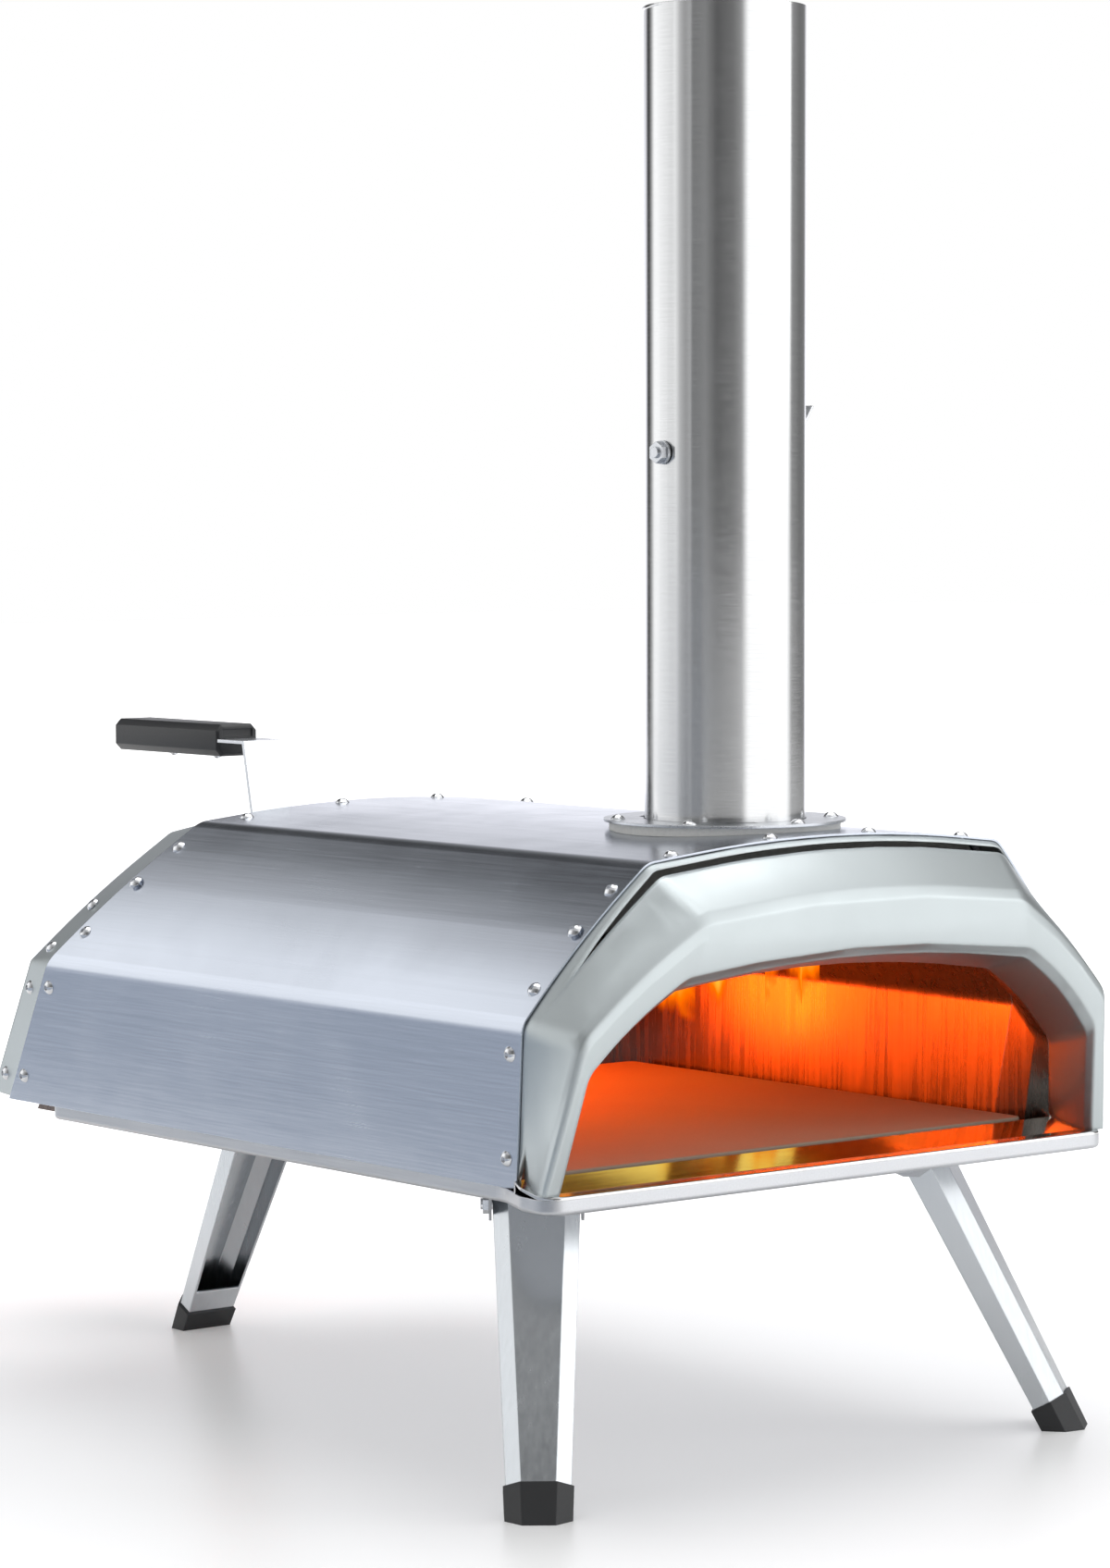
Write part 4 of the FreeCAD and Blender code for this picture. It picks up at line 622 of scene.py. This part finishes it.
def make_card_dome():
    """Studio cards and soft boxes round the oven, as one dome that only gloss can see."""
    mesh = bmesh.new()
    bmesh.ops.create_uvsphere(mesh, u_segments=DOME_SIDES, v_segments=DOME_RINGS, radius=DOME_RADIUS)
    bmesh.ops.translate(mesh, verts=mesh.verts, vec=(0.0, 0.0, DOME_CENTRE_Z))
    dome = as_object("studio_cards", mesh)
    gloss_only(dome)
    material, tree = stage_material("studio_cards")
    tree.nodes.clear()
    out = add(tree, "ShaderNodeOutputMaterial")
    glow = add(tree, "ShaderNodeEmission", inputs={"Strength": CARD_STRENGTH})
    link(tree, card_light(tree), glow.inputs["Color"])
    link(tree, glow.outputs[0], out.inputs["Surface"])
    dome.data.materials.append(material)


def make_floor_card():
    """Grey card left of the oven, which only gloss can see, so that the low panels keep their depth."""
    mesh = bmesh.new()
    bmesh.ops.create_grid(mesh, x_segments=1, y_segments=1, size=0.5)
    bmesh.ops.scale(mesh, verts=mesh.verts, vec=FLOOR_CARD_SIZE)
    bmesh.ops.translate(mesh, verts=mesh.verts, vec=FLOOR_CARD_PLACE)
    card = as_object("studio_floor_card", mesh)
    gloss_only(card)
    material, tree = stage_material("studio_floor_card")
    shader = tree.nodes["Principled BSDF"]
    shader.inputs["Base Color"].default_value = (0.0, 0.0, 0.0, 1.0)
    shader.inputs["Roughness"].default_value = 1.0
    shader.inputs["Emission Color"].default_value = (*FLOOR_CARD_COLOUR, 1.0)
    shader.inputs["Emission Strength"].default_value = 1.0
    card.data.materials.append(material)


def new_lamp(name, kind, location, power, colour):
    """A lamp of one kind at its place, and its object."""
    data = bpy.data.lights.new(name, kind)
    data.energy = power
    data.color = colour
    lamp = bpy.data.objects.new(name, data)
    scene.collection.objects.link(lamp)
    lamp.location = location
    return data, lamp


def area_lamp(name, location, aim, size, power):
    """A white soft box that faces its aim."""
    data, lamp = new_lamp(name, "AREA", location, power, WHITE)
    data.shape = "RECTANGLE"
    data.size, data.size_y = size
    direction = Vector(aim) - Vector(location)
    lamp.rotation_mode = "QUATERNION"
    lamp.rotation_quaternion = direction.to_track_quat("-Z", "Y")


def make_lights():
    """Soft boxes outside, and the embers' warm light in the chamber."""
    for name, location, aim, size, power in SOFTBOXES:
        area_lamp(name, location, aim, size, power)
    for name, location, radius, power in EMBERS:
        new_lamp(name, "POINT", location, power, EMBER_COLOUR)[0].shadow_soft_size = radius


# ---------------------------------------------------------------- flames, part of the stage
def flame_material():
    """Yellow to red flame that thins out to nothing at its ragged lower edge."""
    material, tree = stage_material("stage_flame")
    tree.nodes.clear()
    out = add(tree, "ShaderNodeOutputMaterial")
    glow = add(tree, "ShaderNodeEmission")
    clear = add(tree, "ShaderNodeBsdfTransparent")
    mix = add(tree, "ShaderNodeMixShader")
    where = add(tree, "ShaderNodeTexCoord").outputs["Object"]
    split = add(tree, "ShaderNodeSeparateXYZ")
    link(tree, where, split.inputs[0])
    licks = noise(tree, stretched(tree, where, LICK_STRETCH), 1.0, 3.0, 0.55, 0.8)
    hang = remap(tree, split.outputs["Z"], FLAME_LOW_Z, FLAME_HIGH_Z, *FLAME_HANG)
    body = maths(tree, "ADD", licks, hang)
    heat = remap(tree, body, *FLAME_HEAT, 0.0, 1.0)
    link(tree, ramp(tree, heat, FLAME_COLOURS), glow.inputs["Color"])
    glow.inputs["Strength"].default_value = FLAME_STRENGTH
    link(tree, remap(tree, body, *FLAME_FADE, 0.0, 1.0), mix.inputs["Fac"])
    link(tree, clear.outputs[0], mix.inputs[1])
    link(tree, glow.outputs[0], mix.inputs[2])
    link(tree, mix.outputs[0], out.inputs["Surface"])
    return material


def make_flames():
    """Standing wavy sheets of flame under the chamber's roof, turned towards the mouth."""
    material = flame_material()
    for number, (x, y, width) in enumerate(FLAMES):
        mesh = bmesh.new()
        bmesh.ops.create_grid(mesh, x_segments=12, y_segments=4, size=0.5)
        for vertex in mesh.verts:
            across = vertex.co.x
            up = vertex.co.y + 0.5
            turn = FLAME_TURN + number * FLAME_TURN_STEP
            wave = FLAME_WAVE * math.sin(across * FLAME_WAVE_RATE + number)
            vertex.co = (x + across * width * math.cos(turn),
                         y + across * width * math.sin(turn) + wave,
                         FLAME_LOW_Z + up * (FLAME_HIGH_Z + FLAME_ABOVE - FLAME_LOW_Z))
        sheet = as_object(f"stage_flame_{number}", mesh)
        sheet.visible_shadow = False
        sheet.data.materials.append(material)


# ---------------------------------------------------------------- pieces
def eased_copy(node, body, finish, width):
    """A copy of a CAD node with its flat faces rejoined and every sharp edge rounded, in its place."""
    mesh = bmesh.new()
    mesh.from_mesh(NODES[node].data)
    bmesh.ops.remove_doubles(mesh, verts=mesh.verts, dist=MERGE_GAP)
    bmesh.ops.dissolve_limit(mesh, angle_limit=FLAT_ANGLE, verts=mesh.verts, edges=mesh.edges)
    keen = [e for e in mesh.edges if len(e.link_faces) == 2 and e.calc_face_angle(0.0) > SHARP_ANGLE]
    bmesh.ops.bevel(mesh, geom=keen, offset=width, affect="EDGES", segments=EDGE_STEPS, profile=0.5,
                    material=-1, clamp_overlap=True)
    bmesh.ops.triangulate(mesh, faces=[f for f in mesh.faces if len(f.verts) > 4])
    piece = as_object(node + "_eased", mesh)
    smooth_by_angle(piece)
    paint(piece, finish)
    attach(piece, body)
    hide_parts(node)


def smooth_by_angle(piece):
    """Marks sharp every edge that turns by more than the crease angle or is open."""
    mesh = bmesh.new()
    mesh.from_mesh(piece.data)
    for edge in mesh.edges:
        edge.smooth = len(edge.link_faces) == 2 and edge.calc_face_angle(0.0) < CREASE_ANGLE
    mesh.to_mesh(piece.data)
    mesh.free()


def chimney_hem():
    """Rolled hem round the chimney's top edge."""
    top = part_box("chimney_tube")[1][2]
    mesh = bmesh.new()
    ring = bmesh.ops.create_circle(mesh, segments=HEM_SIDES, radius=HEM_R)["verts"]
    for vertex in ring:
        vertex.co = (CHIMNEY_R - HEM_R + vertex.co.x, FLUE_Y, top - HEM_R + vertex.co.y)
    bmesh.ops.spin(mesh, geom=ring + mesh.edges[:], cent=(0.0, FLUE_Y, 0.0), axis=(0.0, 0.0, 1.0),
                   angle=math.tau, steps=HEM_STEPS, use_merge=True)
    bmesh.ops.recalc_face_normals(mesh, faces=mesh.faces)
    hem = as_object("chimney_hem", mesh)
    paint(hem, "chimney")
    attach(hem, "chimney")


# ---------------------------------------------------------------- build
make_camera()
make_world()
make_floor()
make_card_dome()
make_floor_card()
make_lights()
make_flames()
paint_nodes()
eased_copy("front_bezel", "oven", "bezel", BEZEL_EDGE)
eased_copy("hatch_grip", "hatch", "grip", GRIP_EDGE)
chimney_hem()

view = scene.view_settings
view.view_transform = "Standard"
